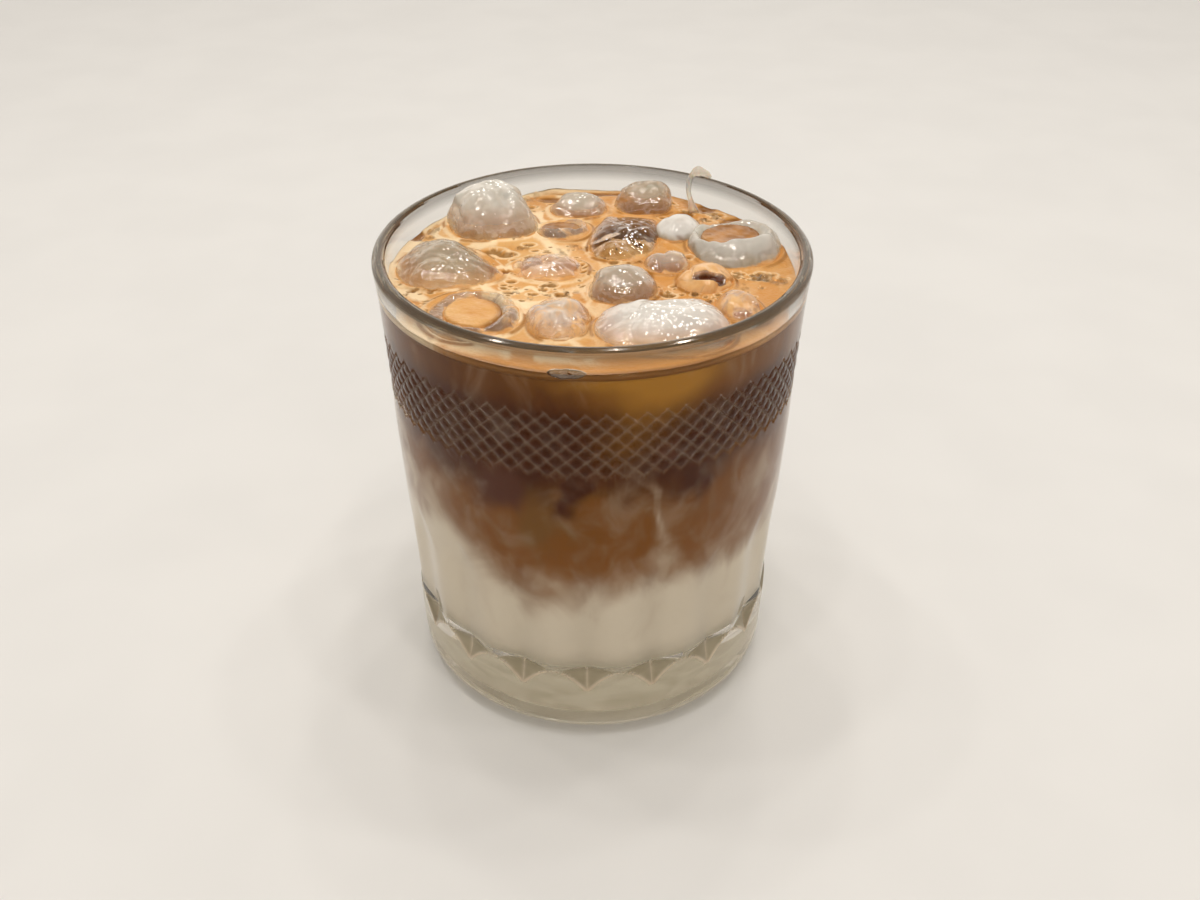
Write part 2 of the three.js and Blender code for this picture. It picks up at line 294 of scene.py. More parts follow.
class Finish:
    """Shader expressions in the node tree of a new material, or of a given owner."""

    def __init__(self, name, owner=None):
        self.material = owner or bpy.data.materials.new(name)
        self.material.use_nodes = True
        self.tree = self.material.node_tree
        self.tree.nodes.clear()

    def node(self, kind, settings=None, inputs=None, output=0):
        """Adds a node, sets it, fills its sockets and wraps one output."""
        made = self.tree.nodes.new(kind)
        for key, value in (settings or {}).items():
            setattr(made, key, value)
        for key, value in (inputs or {}).items():
            if isinstance(value, Value):
                self.tree.links.new(value.socket, made.inputs[key])
            else:
                made.inputs[key].default_value = value
        return Value(self, made.outputs[output]) if made.outputs else None

    def mix(self, factor, first, second):
        """Mixes two colours."""
        def colour(value):
            return value if isinstance(value, Value) else (*value, 1.0)
        settings = {"data_type": "RGBA", "blend_type": "MIX"}
        return self.node(
            "ShaderNodeMix", settings, {0: factor, 6: colour(first), 7: colour(second)}, 2
        )

    def place(self):
        """Place in the object's own metres."""
        return self.node("ShaderNodeTexCoord", None, None, "Object")

    def mask(self, name):
        """A mask that the mesh carries on its points."""
        return self.node("ShaderNodeAttribute", {"attribute_name": name}, None, "Fac")

    def grain(self, size, detail=2.0, distortion=0.0, stretch=(1.0, 1.0, 1.0)):
        """Noise from 0 to 1 whose features are about size millimetres."""
        spread = tuple(s / (size * MM) for s in stretch)
        where = self.node(
            "ShaderNodeVectorMath", {"operation": "MULTIPLY"}, {0: self.place(), 1: spread}
        )
        inputs = {"Vector": where, "Scale": 1.0, "Detail": detail, "Distortion": distortion}
        return self.node("ShaderNodeTexNoise", None, inputs, "Fac")

    def range(self, value, low, high, start=0.0, end=1.0):
        """Smoothly maps low to high onto start to end."""
        settings = {"interpolation_type": "SMOOTHSTEP"}
        inputs = {0: value, 1: low, 2: high, 3: start, 4: end}
        return self.node("ShaderNodeMapRange", settings, inputs)

    def bump(self, height, depth, strength=1.0):
        """A normal from a height; the depth is in millimetres."""
        inputs = {"Height": height, "Distance": depth * MM, "Strength": strength}
        return self.node("ShaderNodeBump", None, inputs)

    def upturned(self, share):
        """The surface normal turned towards straight up, as light spreads inside a cloudy body."""
        def vector(operation, inputs):
            return self.node("ShaderNodeVectorMath", {"operation": operation}, inputs)
        normal = self.node("ShaderNodeNewGeometry", None, None, "Normal")
        level = vector("MULTIPLY", {0: normal, 1: (1.0 - share,) * 3})
        return vector("NORMALIZE", {0: vector("ADD", {0: level, 1: (0.0, 0.0, share)})})

    def surface(self, **inputs):
        """A Principled shader; names use underscores for spaces."""
        named = {key.replace("_", " "): value for key, value in inputs.items()}
        return self.node("ShaderNodeBsdfPrincipled", None, named)

    def blend(self, factor, first, second):
        """Mixes two shaders."""
        return self.node("ShaderNodeMixShader", None, {0: factor, 1: first, 2: second})

    def froth(self, size):
        """Rounded cells about size millimetres across, 0 in their middles."""
        inputs = {"Vector": self.place(), "Scale": 1.0 / (size * MM)}
        return self.node("ShaderNodeTexVoronoi", None, inputs, "Distance")

    def output(self, shader):
        """Ends the tree with a shader and gives back the material."""
        self.node("ShaderNodeOutputMaterial", None, {"Surface": shader})
        return self.material


def tumbler_glass():
    f = Finish("pressed_glass")
    wave = f.grain(9.0, detail=1.0)
    touch = f.range(f.grain(14.0, detail=3.0), 0.45, 0.8, 0.0, 0.03)
    clear = f.surface(
        Base_Color=(0.93, 0.915, 0.885, 1.0), Roughness=touch, IOR=1.5,
        Specular_Tint=(0.34, 0.27, 0.2, 1.0), Transmission_Weight=1.0,
        Normal=f.bump(wave, 0.04, 0.2),
    )
    # painted light: a milky beige surface, mixed onto the foot, stands in for light reaching the base
    # through the glass
    swirl = f.grain(11.0, detail=2.0, distortion=1.2, stretch=(1.0, 1.0, 2.6))
    milky = f.mix(f.range(swirl, 0.3, 0.7), (0.54, 0.465, 0.325), (0.78, 0.7, 0.54))
    painted_foot_light = f.surface(Base_Color=milky, Roughness=0.3, Specular_IOR_Level=0.3)
    # painted highlight: a light surface along the edges of the diamonds and on the arches and creases
    # of the lens cuts
    glint = f.mix(f.grain(3.0), (0.42, 0.3, 0.21), (0.58, 0.46, 0.34))
    bright = f.surface(Base_Color=glint, Roughness=0.25)
    # painted shade: a dark olive surface, mixed onto the fans at the feet of the lens cuts
    shade = f.mix(f.grain(4.0), (0.17, 0.14, 0.08), (0.24, 0.2, 0.125))
    deep = f.surface(Base_Color=shade, Roughness=0.3, Specular_IOR_Level=0.3)
    # painted shade: a dark surface on the lip stands in for dark surroundings seen through the rim
    edge = f.mix(f.grain(5.0), (0.06, 0.048, 0.03), (0.1, 0.085, 0.058))
    rim = f.surface(Base_Color=edge, Roughness=0.12)
    glass = f.blend(f.mask("foot") * 0.3, clear, painted_foot_light)
    glass = f.blend(f.mask("lip") * 0.65, glass, rim)
    glass = f.blend(f.mask("fan") * 0.72, glass, deep)
    return f.output(f.blend(f.mask("groove") * 0.5, glass, bright))


def drink_finish(look):
    f = Finish("milk_and_coffee")
    drift = f.grain(8.0, detail=4.0, distortion=1.0, stretch=(1.0, 1.0, 0.55)) - 0.5
    depth = f.mask("depth") + drift * 0.9
    tone = f.mix(f.range(f.mask("olive") + drift, 0.2, 0.8), look.coffee, look.olive)
    tone = f.mix(f.range(f.mask("dark") + drift * 0.5, 0.1, 0.9), tone, look.dark)
    tone = f.mix(f.range(f.mask("plum") + drift * 0.6, 0.25, 0.85), tone, look.plum)
    cloud = f.grain(8.0, detail=4.0, distortion=0.5, stretch=(1.0, 1.0, 0.8))
    wisp = f.mix(f.range(cloud, 0.62, 0.38, 0.0, 0.4), look.pale, look.coffee)
    tone = f.mix(f.range(f.mask("pale") + drift * 0.5, 0.1, 1.0), tone, wisp)
    tone = f.mix(f.mask("gold"), tone, look.gold)
    tone = f.mix(f.range(cloud, 0.42, 0.75, 0.0, 0.3) * f.mask("swirl"), tone, look.pale)
    tone = f.mix(f.range(depth, 0.0, 1.0), look.milk, tone)
    # painted light: the underside of the milk is painted lighter and given a weak glow, standing in
    # for light scattered through the milk
    tone = f.mix(f.mask("under"), tone, look.under)
    glow = f.mix(f.mask("under"), (0.0, 0.0, 0.0), look.under)
    return f.output(f.surface(
        Base_Color=tone, Roughness=0.5, Specular_IOR_Level=0.0,
        Emission_Color=glow, Emission_Strength=0.06,
    ))


def crema_tone(f, look, toffee, lace):
    """Foam colours from the toffee and lacing masks."""
    speck = f.grain(0.8, detail=2.0) - 0.5
    patch = f.grain(5.0, detail=3.0, distortion=0.5) - 0.5
    tone = f.mix(f.range(toffee + patch * 0.7, 0.1, 0.9), look.foam, look.toffee)
    return f.mix(f.range(lace + speck * 0.3 + patch * 0.3, 0.1, 0.95), tone, look.lace)


def crema_finish(look):
    f = Finish("crema_foam")
    cells = (f.froth(0.7) + f.froth(1.9) * 0.6) * (1.0 - f.mask("pool")).clamp()
    tone = crema_tone(f, look, f.mask("toffee"), f.mask("lace"))
    tone = f.mix(f.range(f.mask("hole"), 0.1, 1.0, 0.0, 0.9), tone, look.hollow)
    tone = f.mix(f.mask("pool"), tone, look.pool)
    tone = f.mix(f.mask("deep"), tone, look.deep)
    wet = f.range(f.mask("pool"), 0.2, 0.9, 0.3, 0.05)
    return f.output(f.surface(
        Base_Color=tone, Roughness=wet, Specular_IOR_Level=0.3,
        Specular_Tint=(1.0, 0.82, 0.55, 1.0),
        Normal=f.bump(cells, 0.2, 0.45),
    ))


def ice_finish(look, foam_look):
    f = Finish("melting_ice")
    gather = f.range(f.grain(7.0, detail=1.0), 0.38, 0.6, 0.25, 1.0)
    normal = f.bump(f.grain(1.5, detail=0.5) * gather, 0.75, 0.85)
    wisp = f.grain(5.0, detail=2.0, distortion=0.8) - 0.5
    tone = f.mix(f.range(f.mask("stain") + wisp * 0.35, 0.0, 1.0), look.cloud, look.stain)
    # painted light: the foot of each lump is tinted warm, standing in for lit crema seen through the
    # ice
    tone = f.mix(f.range(f.mask("edge") + wisp * 0.8, 0.2, 1.0), tone, look.warm)
    # painted shade: the slit hollow is painted dark coffee brown
    tone = f.mix(f.mask("slit"), tone, foam_look.dark)
    haze = (f.mask("haze") + wisp * 0.55).clamp()
    milky = f.surface(
        Base_Color=tone, Roughness=0.5, Specular_IOR_Level=0.0, Alpha=haze, Normal=f.upturned(0.72),
    )
    tint = f.mix(f.mask("stain"), look.clear, look.amber)
    glassy = f.surface(
        Base_Color=tint, Roughness=0.02, IOR=1.31, Transmission_Weight=1.0, Normal=normal,
    )
    ice = f.blend((f.mask("glassy") + wisp * 0.5).clamp() * 0.85, milky, glassy)
    shine = f.surface(Base_Color=(1.0, 1.0, 1.0, 1.0), Metallic=1.0, Roughness=0.03, Normal=normal)
    wet = f.node("ShaderNodeFresnel", None, {"IOR": 1.85, "Normal": normal})
    ice = f.blend(wet * 0.75, ice, shine)
    # painted glints: white specks with a weak glow, gathered in clusters, stand in for sparkles of
    # light on the wet ice
    gathered = f.range(f.mask("painted_glint") + (f.grain(2.4, detail=1.0) - 0.5) * 1.8, 0.5, 0.64)
    glint_specks = f.range(f.froth(0.85), 0.2, 0.38, 1.0, 0.0) * gathered
    painted_glint = f.surface(
        Base_Color=(1.0, 1.0, 1.0, 1.0), Roughness=0.15,
        Emission_Color=(1.0, 0.98, 0.95, 1.0), Emission_Strength=0.35,
    )
    ice = f.blend(glint_specks * 0.9, ice, painted_glint)
    tone = crema_tone(f, foam_look, f.grain(6.0), f.grain(4.0) * 0.6)
    froth = f.surface(Base_Color=tone, Roughness=0.22, Normal=f.bump(f.froth(0.9), 0.12, 0.3))
    clump = f.grain(3.4, detail=3.0, distortion=0.8) - 0.5
    return f.output(f.blend(f.range(f.mask("foam") + clump * 1.3, 0.35, 0.8), ice, froth))


def cream_finish(look):
    f = Finish("dribble_cream")
    streak = f.grain(2.0, detail=2.0)
    tone = f.mix(f.range(streak, 0.3, 0.7), look.cream, look.cloud)
    return f.output(f.surface(
        Base_Color=tone, Roughness=0.08, IOR=1.35, Transmission_Weight=0.7,
        Subsurface_Weight=0.4, Subsurface_Scale=1.0 * MM, Normal=f.bump(streak, 0.1, 0.3),
    ))


def bubble_finish():
    f = Finish("foam_bubbles")
    film = f.grain(1.0, detail=1.0)
    tone = f.mix(f.range(film, 0.3, 0.7), (0.99, 0.97, 0.94), (0.97, 0.93, 0.87))
    return f.output(f.surface(
        Base_Color=tone, Roughness=0.03, IOR=1.12, Transmission_Weight=1.0,
    ))


# Tumbler form shared by the pieces

HEEL_SWELL = 0.3
BAND_PINCH = 0.25


def wall_radius(sizes, z):
    """Outer wall without its pattern: straight taper, slight flare at the lip, fuller heel."""
    height = mm(sizes.height)
    straight = mm(sizes.rim_radius) - sizes.outer_taper * (height - z)
    full = HEEL_SWELL * (1.0 - smoothstep(8.0, 28.0, z))
    pinch = BAND_PINCH * smoothstep(60.0, 66.0, z) * (1.0 - smoothstep(86.0, 94.0, z))
    return straight + full - pinch


def bore_radius(sizes, z):
    """Radius of the inner wall."""
    lip = mm(sizes.lip)
    top = mm(sizes.height) - lip
    return mm(sizes.rim_radius) - 2.0 * lip - sizes.bore_taper * (top - z)


def fill_radius(sizes, z):
    """Radius of the bore, with its rounded corner, at a height above the floor."""
    floor, corner = mm(sizes.floor), mm(sizes.corner)
    middle = bore_radius(sizes, floor + corner) - corner
    drop = np.clip((floor + corner - z) / corner, 0.0, 1.0)
    rounded = middle + corner * np.sqrt(1.0 - drop**2)
    return np.where(z < floor + corner, rounded, bore_radius(sizes, z))


LENS_COUNT = 18
LENS_FOOT = 7.0
LENS_HEAD = 9.0
LENS_HALF = 6.6
ARCH = 4.6
FAN_TOP = 19.4
DIAMOND_COUNT = 72
DIAMOND_ROWS = 4
ROWS_PER_DIAMOND = 10
GLASS_COLUMNS = 720
HEEL_STEPS = 10
LIP_STEPS = 11
CORNER_STEPS = 9
SHARP_ANGLE = math.radians(14.0)


def lens_cut(sizes, angle, z):
    """Depth of the lens cuts, the shaded fans at their feet and the bright arches between them."""
    pitch = 2.0 * math.pi / LENS_COUNT
    turn = (angle - sizes.pattern_turn) / pitch
    across = 2.0 * np.abs(turn - np.round(turn))
    up = z - mm(sizes.lens_bottom)
    head = ease_out((mm(sizes.lens_top) - z) / LENS_HEAD)
    spread = np.maximum((1.0 - np.sqrt(np.clip(1.0 - up / ARCH, 0.0, 1.0))) * head, 1e-3)
    deep = mm(sizes.lens_depth) * ease_out(up / LENS_FOOT) * head
    share = np.clip(1.0 - across / spread, 0.0, 1.0)
    flute = 0.5 - 0.5 * np.cos(math.pi * share)
    soft = smoothstep(FAN_TOP - 1.0, FAN_TOP + 7.0, z)
    depth = deep * (share * (1.0 - soft) + 0.6 * flute * soft)
    fan_top = FAN_TOP - 1.6 * across**2
    fan = smoothstep(0.06, 0.2, share) * smoothstep(fan_top + 0.3, fan_top - 0.3, z) * (up > 0.0)
    crease = np.exp(-((across * LENS_HALF / 0.3) ** 2)) * fan
    gone = (across - spread) * LENS_HALF
    arch = np.exp(-(((gone - 0.25) / 0.4) ** 2)) * (up > -0.3) * (up < ARCH)
    return depth, fan * (1.0 - 0.7 * crease), np.clip(arch + 0.5 * crease, 0.0, 1.0)


def diamond_cells(sizes, angle, z):
    """Depth of the grooves round the pillowed diamonds, and where they catch the light."""
    u = (angle - sizes.pattern_turn) * DIAMOND_COUNT / (2.0 * math.pi)
    w = (z - mm(sizes.band_bottom)) / mm(sizes.diamond)
    p, q = u - w, u + w
    p_cell, q_cell = np.floor(p + 1e-6), np.ceil(q - 1e-6) - 1.0
    p_in, q_in = p - p_cell - 0.5, q - q_cell - 0.5
    aside, above = (p_in + q_in) / 2.0, (q_in - p_in) / 2.0
    row = (q_cell - p_cell) / 2.0
    bend = np.where(above > 0.0, 1.5, 1.2)
    rim = ((2.0 * np.abs(aside)) ** bend + (2.0 * np.abs(above)) ** bend) ** (1.0 / bend)
    side = 2.0 ** (1.0 / bend - 1.0)
    pillow = 1.0 - np.sqrt(np.clip(1.0 - np.clip(rim / side, 0.0, 1.0) ** 2, 0.0, 1.0))
    lower, upper = row < 0.25, row > DIAMOND_ROWS - 0.25
    fade = np.where(lower, smoothstep(0.0, 0.12, above), 1.0)
    fade = fade * np.where(upper, smoothstep(0.0, 0.12, -above), 1.0)
    border = smoothstep(side - 0.2, side, rim)
    depth = mm(sizes.band_depth) * np.where(lower | upper, border, pillow) * fade
    roof = smoothstep(-0.06, 0.06, above)
    light = smoothstep(side - 0.2, side - 0.02, rim) * fade * (0.45 + 0.55 * roof)
    outside = (w < -0.01) | (w > DIAMOND_ROWS + 0.01)
    return np.where(outside, 0.0, depth), np.where(outside, 0.0, light)


class ICED_OT_tumbler(bpy.types.Operator):
    """Builds the pressed glass tumbler with its diamond band and lens cuts"""

    bl_idname = "iced.tumbler"
    bl_label = "Press the tumbler"

    def execute(self, context):
        sizes = context.scene.iced_tumbler
        height, lip = mm(sizes.height), mm(sizes.lip)
        heel, kick = mm(sizes.heel), mm(sizes.kick)
        angles = sizes.pattern_turn + full_turn(GLASS_COLUMNS)
        rows = []
        patterned = []

        def row(radius, z, moulded=False):
            rows.append((float(radius), float(z)))
            patterned.append(moulded)

        # the underside: a shallow recess inside the foot ring
        underside = ((13.0, kick), (25.0, kick), (26.0, kick - 0.2), (27.2, 0.15), (27.8, 0.0))
        for radius, z in underside:
            row(radius, z)
        heel_middle = float(wall_radius(sizes, heel)) - heel
        for t in np.linspace(0.0, math.pi / 2.0, HEEL_STEPS):
            row(heel_middle + heel * math.sin(t), heel * (1.0 - math.cos(t)))
        # the wall with its lens cuts, then the diamond band
        low, high = mm(sizes.lens_bottom), mm(sizes.lens_top)
        foot = np.linspace(low - 0.4, low + LENS_FOOT, 22)
        body = np.linspace(low + LENS_FOOT, high - LENS_HEAD, 7)[1:-1]
        head = np.linspace(high - LENS_HEAD, high + 0.4, 12)
        band_low = mm(sizes.band_bottom)
        band_high = band_low + DIAMOND_ROWS * mm(sizes.diamond)
        band = np.linspace(band_low, band_high, DIAMOND_ROWS * ROWS_PER_DIAMOND + 1)
        for z in np.concatenate([[9.0], foot, body, head, [55.0, 62.0, band_low - 0.5]]):
            row(wall_radius(sizes, z), z, moulded=True)
        band_start = len(rows)
        for z in band:
            row(wall_radius(sizes, z), z, moulded=True)
        band_end = len(rows) - 1
        # the plain wall above, the round lip and the bore down to its floor
        for z in (band_high + 0.5, 87.0, 91.0):
            row(wall_radius(sizes, z), z)
        middle = mm(sizes.rim_radius) - lip
        for t in np.linspace(0.0, math.pi, LIP_STEPS):
            row(middle + lip * math.cos(t), height - lip + lip * math.sin(t))
        floor, corner = mm(sizes.floor), mm(sizes.corner)
        for z in (88.0, 60.0, 35.0, floor + corner):
            row(bore_radius(sizes, z), z)
        inner = float(bore_radius(sizes, floor + corner)) - corner
        for t in np.linspace(0.0, math.pi / 2.0, CORNER_STEPS)[1:]:
            row(inner + corner * math.cos(t), floor + corner - corner * math.sin(t))
        row(inner * 0.5, floor)

        radius = np.array([r for r, _ in rows])[:, None] + np.zeros(GLASS_COLUMNS)
        z = np.array([h for _, h in rows])[:, None] + np.zeros(GLASS_COLUMNS)
        a = np.zeros(len(rows))[:, None] + angles
        groove, light = diamond_cells(sizes, a, z)
        flute, fan, arch = lens_cut(sizes, a, z)
        pattern = np.array(patterned)[:, None]
        cut = np.where(pattern, flute + groove, 0.0)
        lipped = (z > height - 1.05 * lip) * (radius > mm(sizes.rim_radius) - 1.5 * lip)
        outside = radius > bore_radius(sizes, z) + 0.6
        masks = {
            # painted highlights on the diamond edges and the arches of the lens cuts
            "groove": np.where(pattern, np.maximum(0.42 * light, arch), 0.0),
            # painted shade on the fans
            "fan": np.where(pattern, fan, 0.0),
            # painted shade on the lip
            "lip": lipped * 1.0,
            # painted light on the foot
            "foot": smoothstep(20.5, 16.5, z) * outside,
        }
        masks = {name: np.append(values.reshape(-1), [0.0, 0.0]) for name, values in masks.items()}
        points = ring_points(radius - cut, a, z).reshape(-1, 3)
        points = np.vstack([points, [[0, 0, kick], [0, 0, floor]]])
        quads = ring_faces(len(rows), GLASS_COLUMNS)
        strip = np.arange(len(quads)) // GLASS_COLUMNS
        banded = (strip >= band_start) & (strip < band_end)
        depth = np.append(cut.reshape(-1), [0.0, 0.0])
        grooved = quads[banded]
        along = depth[grooved[:, 0]] + depth[grooved[:, 2]]
        against = depth[grooved[:, 1]] + depth[grooved[:, 3]]
        first = grooved[along > against]
        second = grooved[along <= against]
        triangles = np.vstack([
            first[:, [0, 1, 2]], first[:, [0, 2, 3]], second[:, [0, 1, 3]], second[:, [1, 2, 3]],
            pole_faces(0, GLASS_COLUMNS, len(points) - 2, True),
            pole_faces((len(rows) - 1) * GLASS_COLUMNS, GLASS_COLUMNS, len(points) - 1, False),
        ])
        faces = quads[~banded].tolist() + triangles.tolist()
        piece = make_piece("tumbler", points, faces, tumbler_glass(), masks, SHARP_ANGLE)
        seat(piece, "glass", "glass")
        return {"FINISHED"}


DRINK_COLUMNS = 288
DRINK_ROWS = 110
REACH = 0.15
RECESS_FLOOR = 81.6
RECESS_EDGE = 1.8
# Height of the milk at angles round the glass, in degrees from the front
MILK_LINE = (
    (-180.0, 41.0), (-130.0, 44.0), (-85.0, 47.0), (-55.0, 45.5), (-36.0, 41.0), (-21.0, 35.5),
    (-2.0, 36.0), (14.0, 40.0), (35.0, 38.5), (60.0, 41.0), (95.0, 44.0), (140.0, 38.0),
    (180.0, 41.0),
)
# Patches in the coffee: angle, height, half width in degrees, half height and strength
PLUM_PATCHES = (
    (-28.0, 61.0, 11.0, 6.0, 1.0), (22.0, 70.5, 6.0, 4.0, 0.8), (-75.0, 66.0, 16.0, 7.0, 0.6),
    (150.0, 60.0, 14.0, 7.0, 0.9), (-140.0, 66.0, 18.0, 6.0, 0.8),
)
OLIVE_PATCHES = (
    (-13.0, 59.0, 9.0, 9.0, 0.9), (12.0, 63.0, 12.0, 5.0, 0.5), (100.0, 58.0, 20.0, 9.0, 0.8),
    (-165.0, 55.0, 16.0, 8.0, 0.9),
)
PALE_WISPS = (
    (19.0, 56.0, 2.6, 9.0, 0.75), (16.0, 64.0, 2.0, 6.0, 0.5), (22.0, 46.0, 6.0, 5.0, 0.7),
    (-46.0, 57.0, 8.0, 9.0, 0.55), (-17.0, 41.0, 6.0, 3.0, 0.5), (40.0, 60.0, 5.0, 12.0, 0.35),
    (170.0, 50.0, 5.0, 9.0, 0.6), (-120.0, 55.0, 5.0, 10.0, 0.6),
)
GOLD_GLOWS = (
    (15.0, 85.5, 12.0, 6.0, 0.95), (26.0, 87.0, 10.0, 3.0, 0.7), (10.0, 74.0, 8.0, 5.0, 0.25),
    (2.0, 87.3, 14.0, 1.6, 0.5), (-150.0, 86.0, 20.0, 4.0, 0.7),
)
DARK_PATCHES = (
    (-1.0, 63.0, 4.0, 5.0, 0.8), (34.0, 60.0, 6.0, 5.0, 0.4), (-172.0, 64.0, 9.0, 6.0, 0.6),
)


def patches(spots, degrees, z):
    """Soft patches on the side of the drink."""
    total = np.zeros(len(z))
    for angle, height, half_width, half_height, strength in spots:
        aside = (degrees - angle + 180.0) % 360.0 - 180.0
        total += strength * np.exp(-((aside / half_width) ** 2 + ((z - height) / half_height) ** 2))
    return np.clip(total, 0.0, 1.0)


class ICED_OT_drink(bpy.types.Operator):
    """Pours milk and coffee, swirled where they meet, filling the bore"""

    bl_idname = "iced.drink"
    bl_label = "Pour the drink"

    def execute(self, context):
        sizes = context.scene.iced_tumbler
        look = context.scene.iced_drink
        floor, corner = mm(sizes.floor), mm(sizes.corner)
        top = mm(look.level) - mm(look.crema_side)
        angles = full_turn(DRINK_COLUMNS)
        arc = np.linspace(0.0, math.pi / 2.0, HEEL_STEPS)
        heights = np.concatenate([
            floor - REACH + corner * (1.0 - np.cos(arc)),
            np.linspace(floor + corner, top, DRINK_ROWS)[1:],
        ])
        radii = fill_radius(sizes, np.maximum(heights, floor)) + REACH
        # the crema and the ice sit in a recess in the top
        heights = np.append(heights, [top, RECESS_FLOOR])
        radii = np.append(radii, [radii[-1] - RECESS_EDGE, radii[-1] - RECESS_EDGE - 0.4])
        a, z = np.meshgrid(angles, heights)
        r = np.repeat(radii[:, None], DRINK_COLUMNS, axis=1)
        points = ring_points(r, a, z).reshape(-1, 3)
        points = np.vstack([points, [[0, 0, floor - REACH], [0, 0, RECESS_FLOOR]]])
        faces = capped_faces(len(heights), DRINK_COLUMNS)
        masks = self.masks(points, floor)
        piece = make_piece("layered_drink", points, faces, drink_finish(look), masks)
        seat(piece, "coffee", "coffee", "milk")
        return {"FINISHED"}

    @staticmethod
    def masks(points, floor):
        """Where the drink is milk, coffee, dark, olive, plum, pale or golden."""
        x, y, z = points.T
        degrees = np.degrees(np.arctan2(x, -y))
        aside = np.abs(degrees)
        swirl = (noise(points * (1, 1, 0.6), 9.0, 3, 2) - 0.5) * 9.0
        fine = (noise(points * (1, 1, 0.6), 4.0, 9, 2) - 0.5) * 3.0
        line = np.interp(degrees, [a for a, _ in MILK_LINE], [h for _, h in MILK_LINE])
        rise = z - line + swirl + fine
        curl = noise(points * (1, 1, 0.7), 7.0, 51, 3) - 0.5
        sway = noise(points * (1, 1, 0.7), 6.0, 53, 3) - 0.5
        warped, lifted = degrees + 26.0 * curl, z + 14.0 * sway
        # painted light: both sides are painted paler in cloudy shapes, standing in for light passing
        # through the thin coffee at the sides; less towards the band
        side = smoothstep(38.0, 82.0, aside) * (1.0 - smoothstep(98.0, 130.0, aside))
        stir = 9.0 * np.stack([sway, curl, curl - sway], axis=1)
        plume = noise(points * (1, 1, 0.6) + stir, 8.0, 57, 3)
        painted_side_light = side * (0.2 + 1.05 * smoothstep(0.28, 0.78, plume))
        pale = patches(PALE_WISPS, warped, lifted) * (0.6 + 1.2 * np.abs(curl + sway))
        pale += painted_side_light * (1.15 - 0.95 * smoothstep(53.0, 73.0, z))
        pale += 0.35 * smoothstep(12.0, 1.0, rise)
        dark = smoothstep(54.0, 72.0, z + swirl * 0.8) * (1.0 - 0.4 * np.clip(painted_side_light, 0.0, 1.0))
        dark *= 1.0 - (0.5 + 0.25 * smoothstep(-8.0, 10.0, degrees)) * smoothstep(75.0, 86.0, z)
        return {
            "depth": 1.0 - (1.0 - smoothstep(-7.0, 12.0, rise)) ** 2.2,
            "dark": np.clip(dark + patches(DARK_PATCHES, warped, lifted), 0.0, 1.0),
            "olive": patches(OLIVE_PATCHES, warped, lifted) + 0.25 * noise(points, 12.0, 33, 2),
            "plum": patches(PLUM_PATCHES, degrees + 10.0 * curl, z + 6.0 * sway),
            "pale": np.clip(pale, 0.0, 1.0),
            "gold": patches(GOLD_GLOWS, degrees + 8.0 * curl, z + 3.0 * sway),
            "swirl": smoothstep(68.0, 60.0, z),
            # painted light on the underside of the milk
            "under": smoothstep(floor + 6.0, floor + 0.5, z),
        }


# A flat that faces this way mirrors the lamps towards the front
GLINT = (0.0, -0.47, 0.88)


class Lump:
    """One lump of melting ice, placed where its node is.

    half: half sizes in millimetres; turn: degrees about the upright axis
    square: 2 for round and more for blocky; taper: how much one end is narrower
    cloud, stain, foam, painted glint: how milky, coffee-stained and foamy it is, and how strong the
    white glints painted on its upper front are
    below: how much coffee shows under it; wear: how uneven melting has left it
    hollow: middle and half sizes of its hollow; pool: height and darkness of what fills it
    cuts: flats, each with the way it faces and how far out it lies
    """

    def __init__(self, node, half, turn, square=2.2, taper=0.0, cloud=0.6, stain=0.0,
                 foam=0.0, below=0.15, hollow=None, pool=None, cuts=(), painted_glint=0.25, wear=1.0):
        low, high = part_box(node)
        self.node = node
        self.at = np.array([mm(v) for v in (low + high) / 2.0])
        self.half = np.array(half)
        self.turn = math.radians(turn)
        self.square = square
        self.taper = taper
        self.cloud = cloud
        self.stain = stain
        self.hollow = hollow
        self.pool = pool
        self.foam = foam
        self.below = below
        self.cuts = cuts
        self.painted_glint = painted_glint
        self.wear = wear

    def local(self, x, y):
        """Level coordinates along the lump's own long and short sides."""
        dx, dy = x - self.at[0], y - self.at[1]
        c, s = math.cos(self.turn), math.sin(self.turn)
        return dx * c + dy * s, -dx * s + dy * c

    def spread(self, x, y, level):
        """1 at the lump's edge at a height, less inside and more outside; and the edge's mean size."""
        u, v = self.local(x, y)
        up = min(abs(level - self.at[2]) / self.half[2], 0.95)
        waist = math.sqrt(1.0 - up * up)
        a, b = self.half[0] * waist, self.half[1] * waist
        v = v / (1.0 - self.taper * np.clip(u / a, -1.2, 1.2))
        n = self.square
        return (np.abs(u / a) ** n + np.abs(v / b) ** n) ** (1.0 / n), 0.5 * (a + b)

    def bowl(self, x, y):
        """0 in the middle of the lump's hollow and 1 at its edge."""
        u, v = self.local(x, y)
        at, half = self.hollow
        return np.hypot((u - at[0]) / half[0], (v - at[1]) / half[1])

    def keel(self, x, y):
        """Height of the lump's lower surface."""
        rho, _ = self.spread(x, y, self.at[2])
        return self.at[2] - self.half[2] * np.sqrt(np.clip(1.0 - rho**2, 0.0, 1.0))


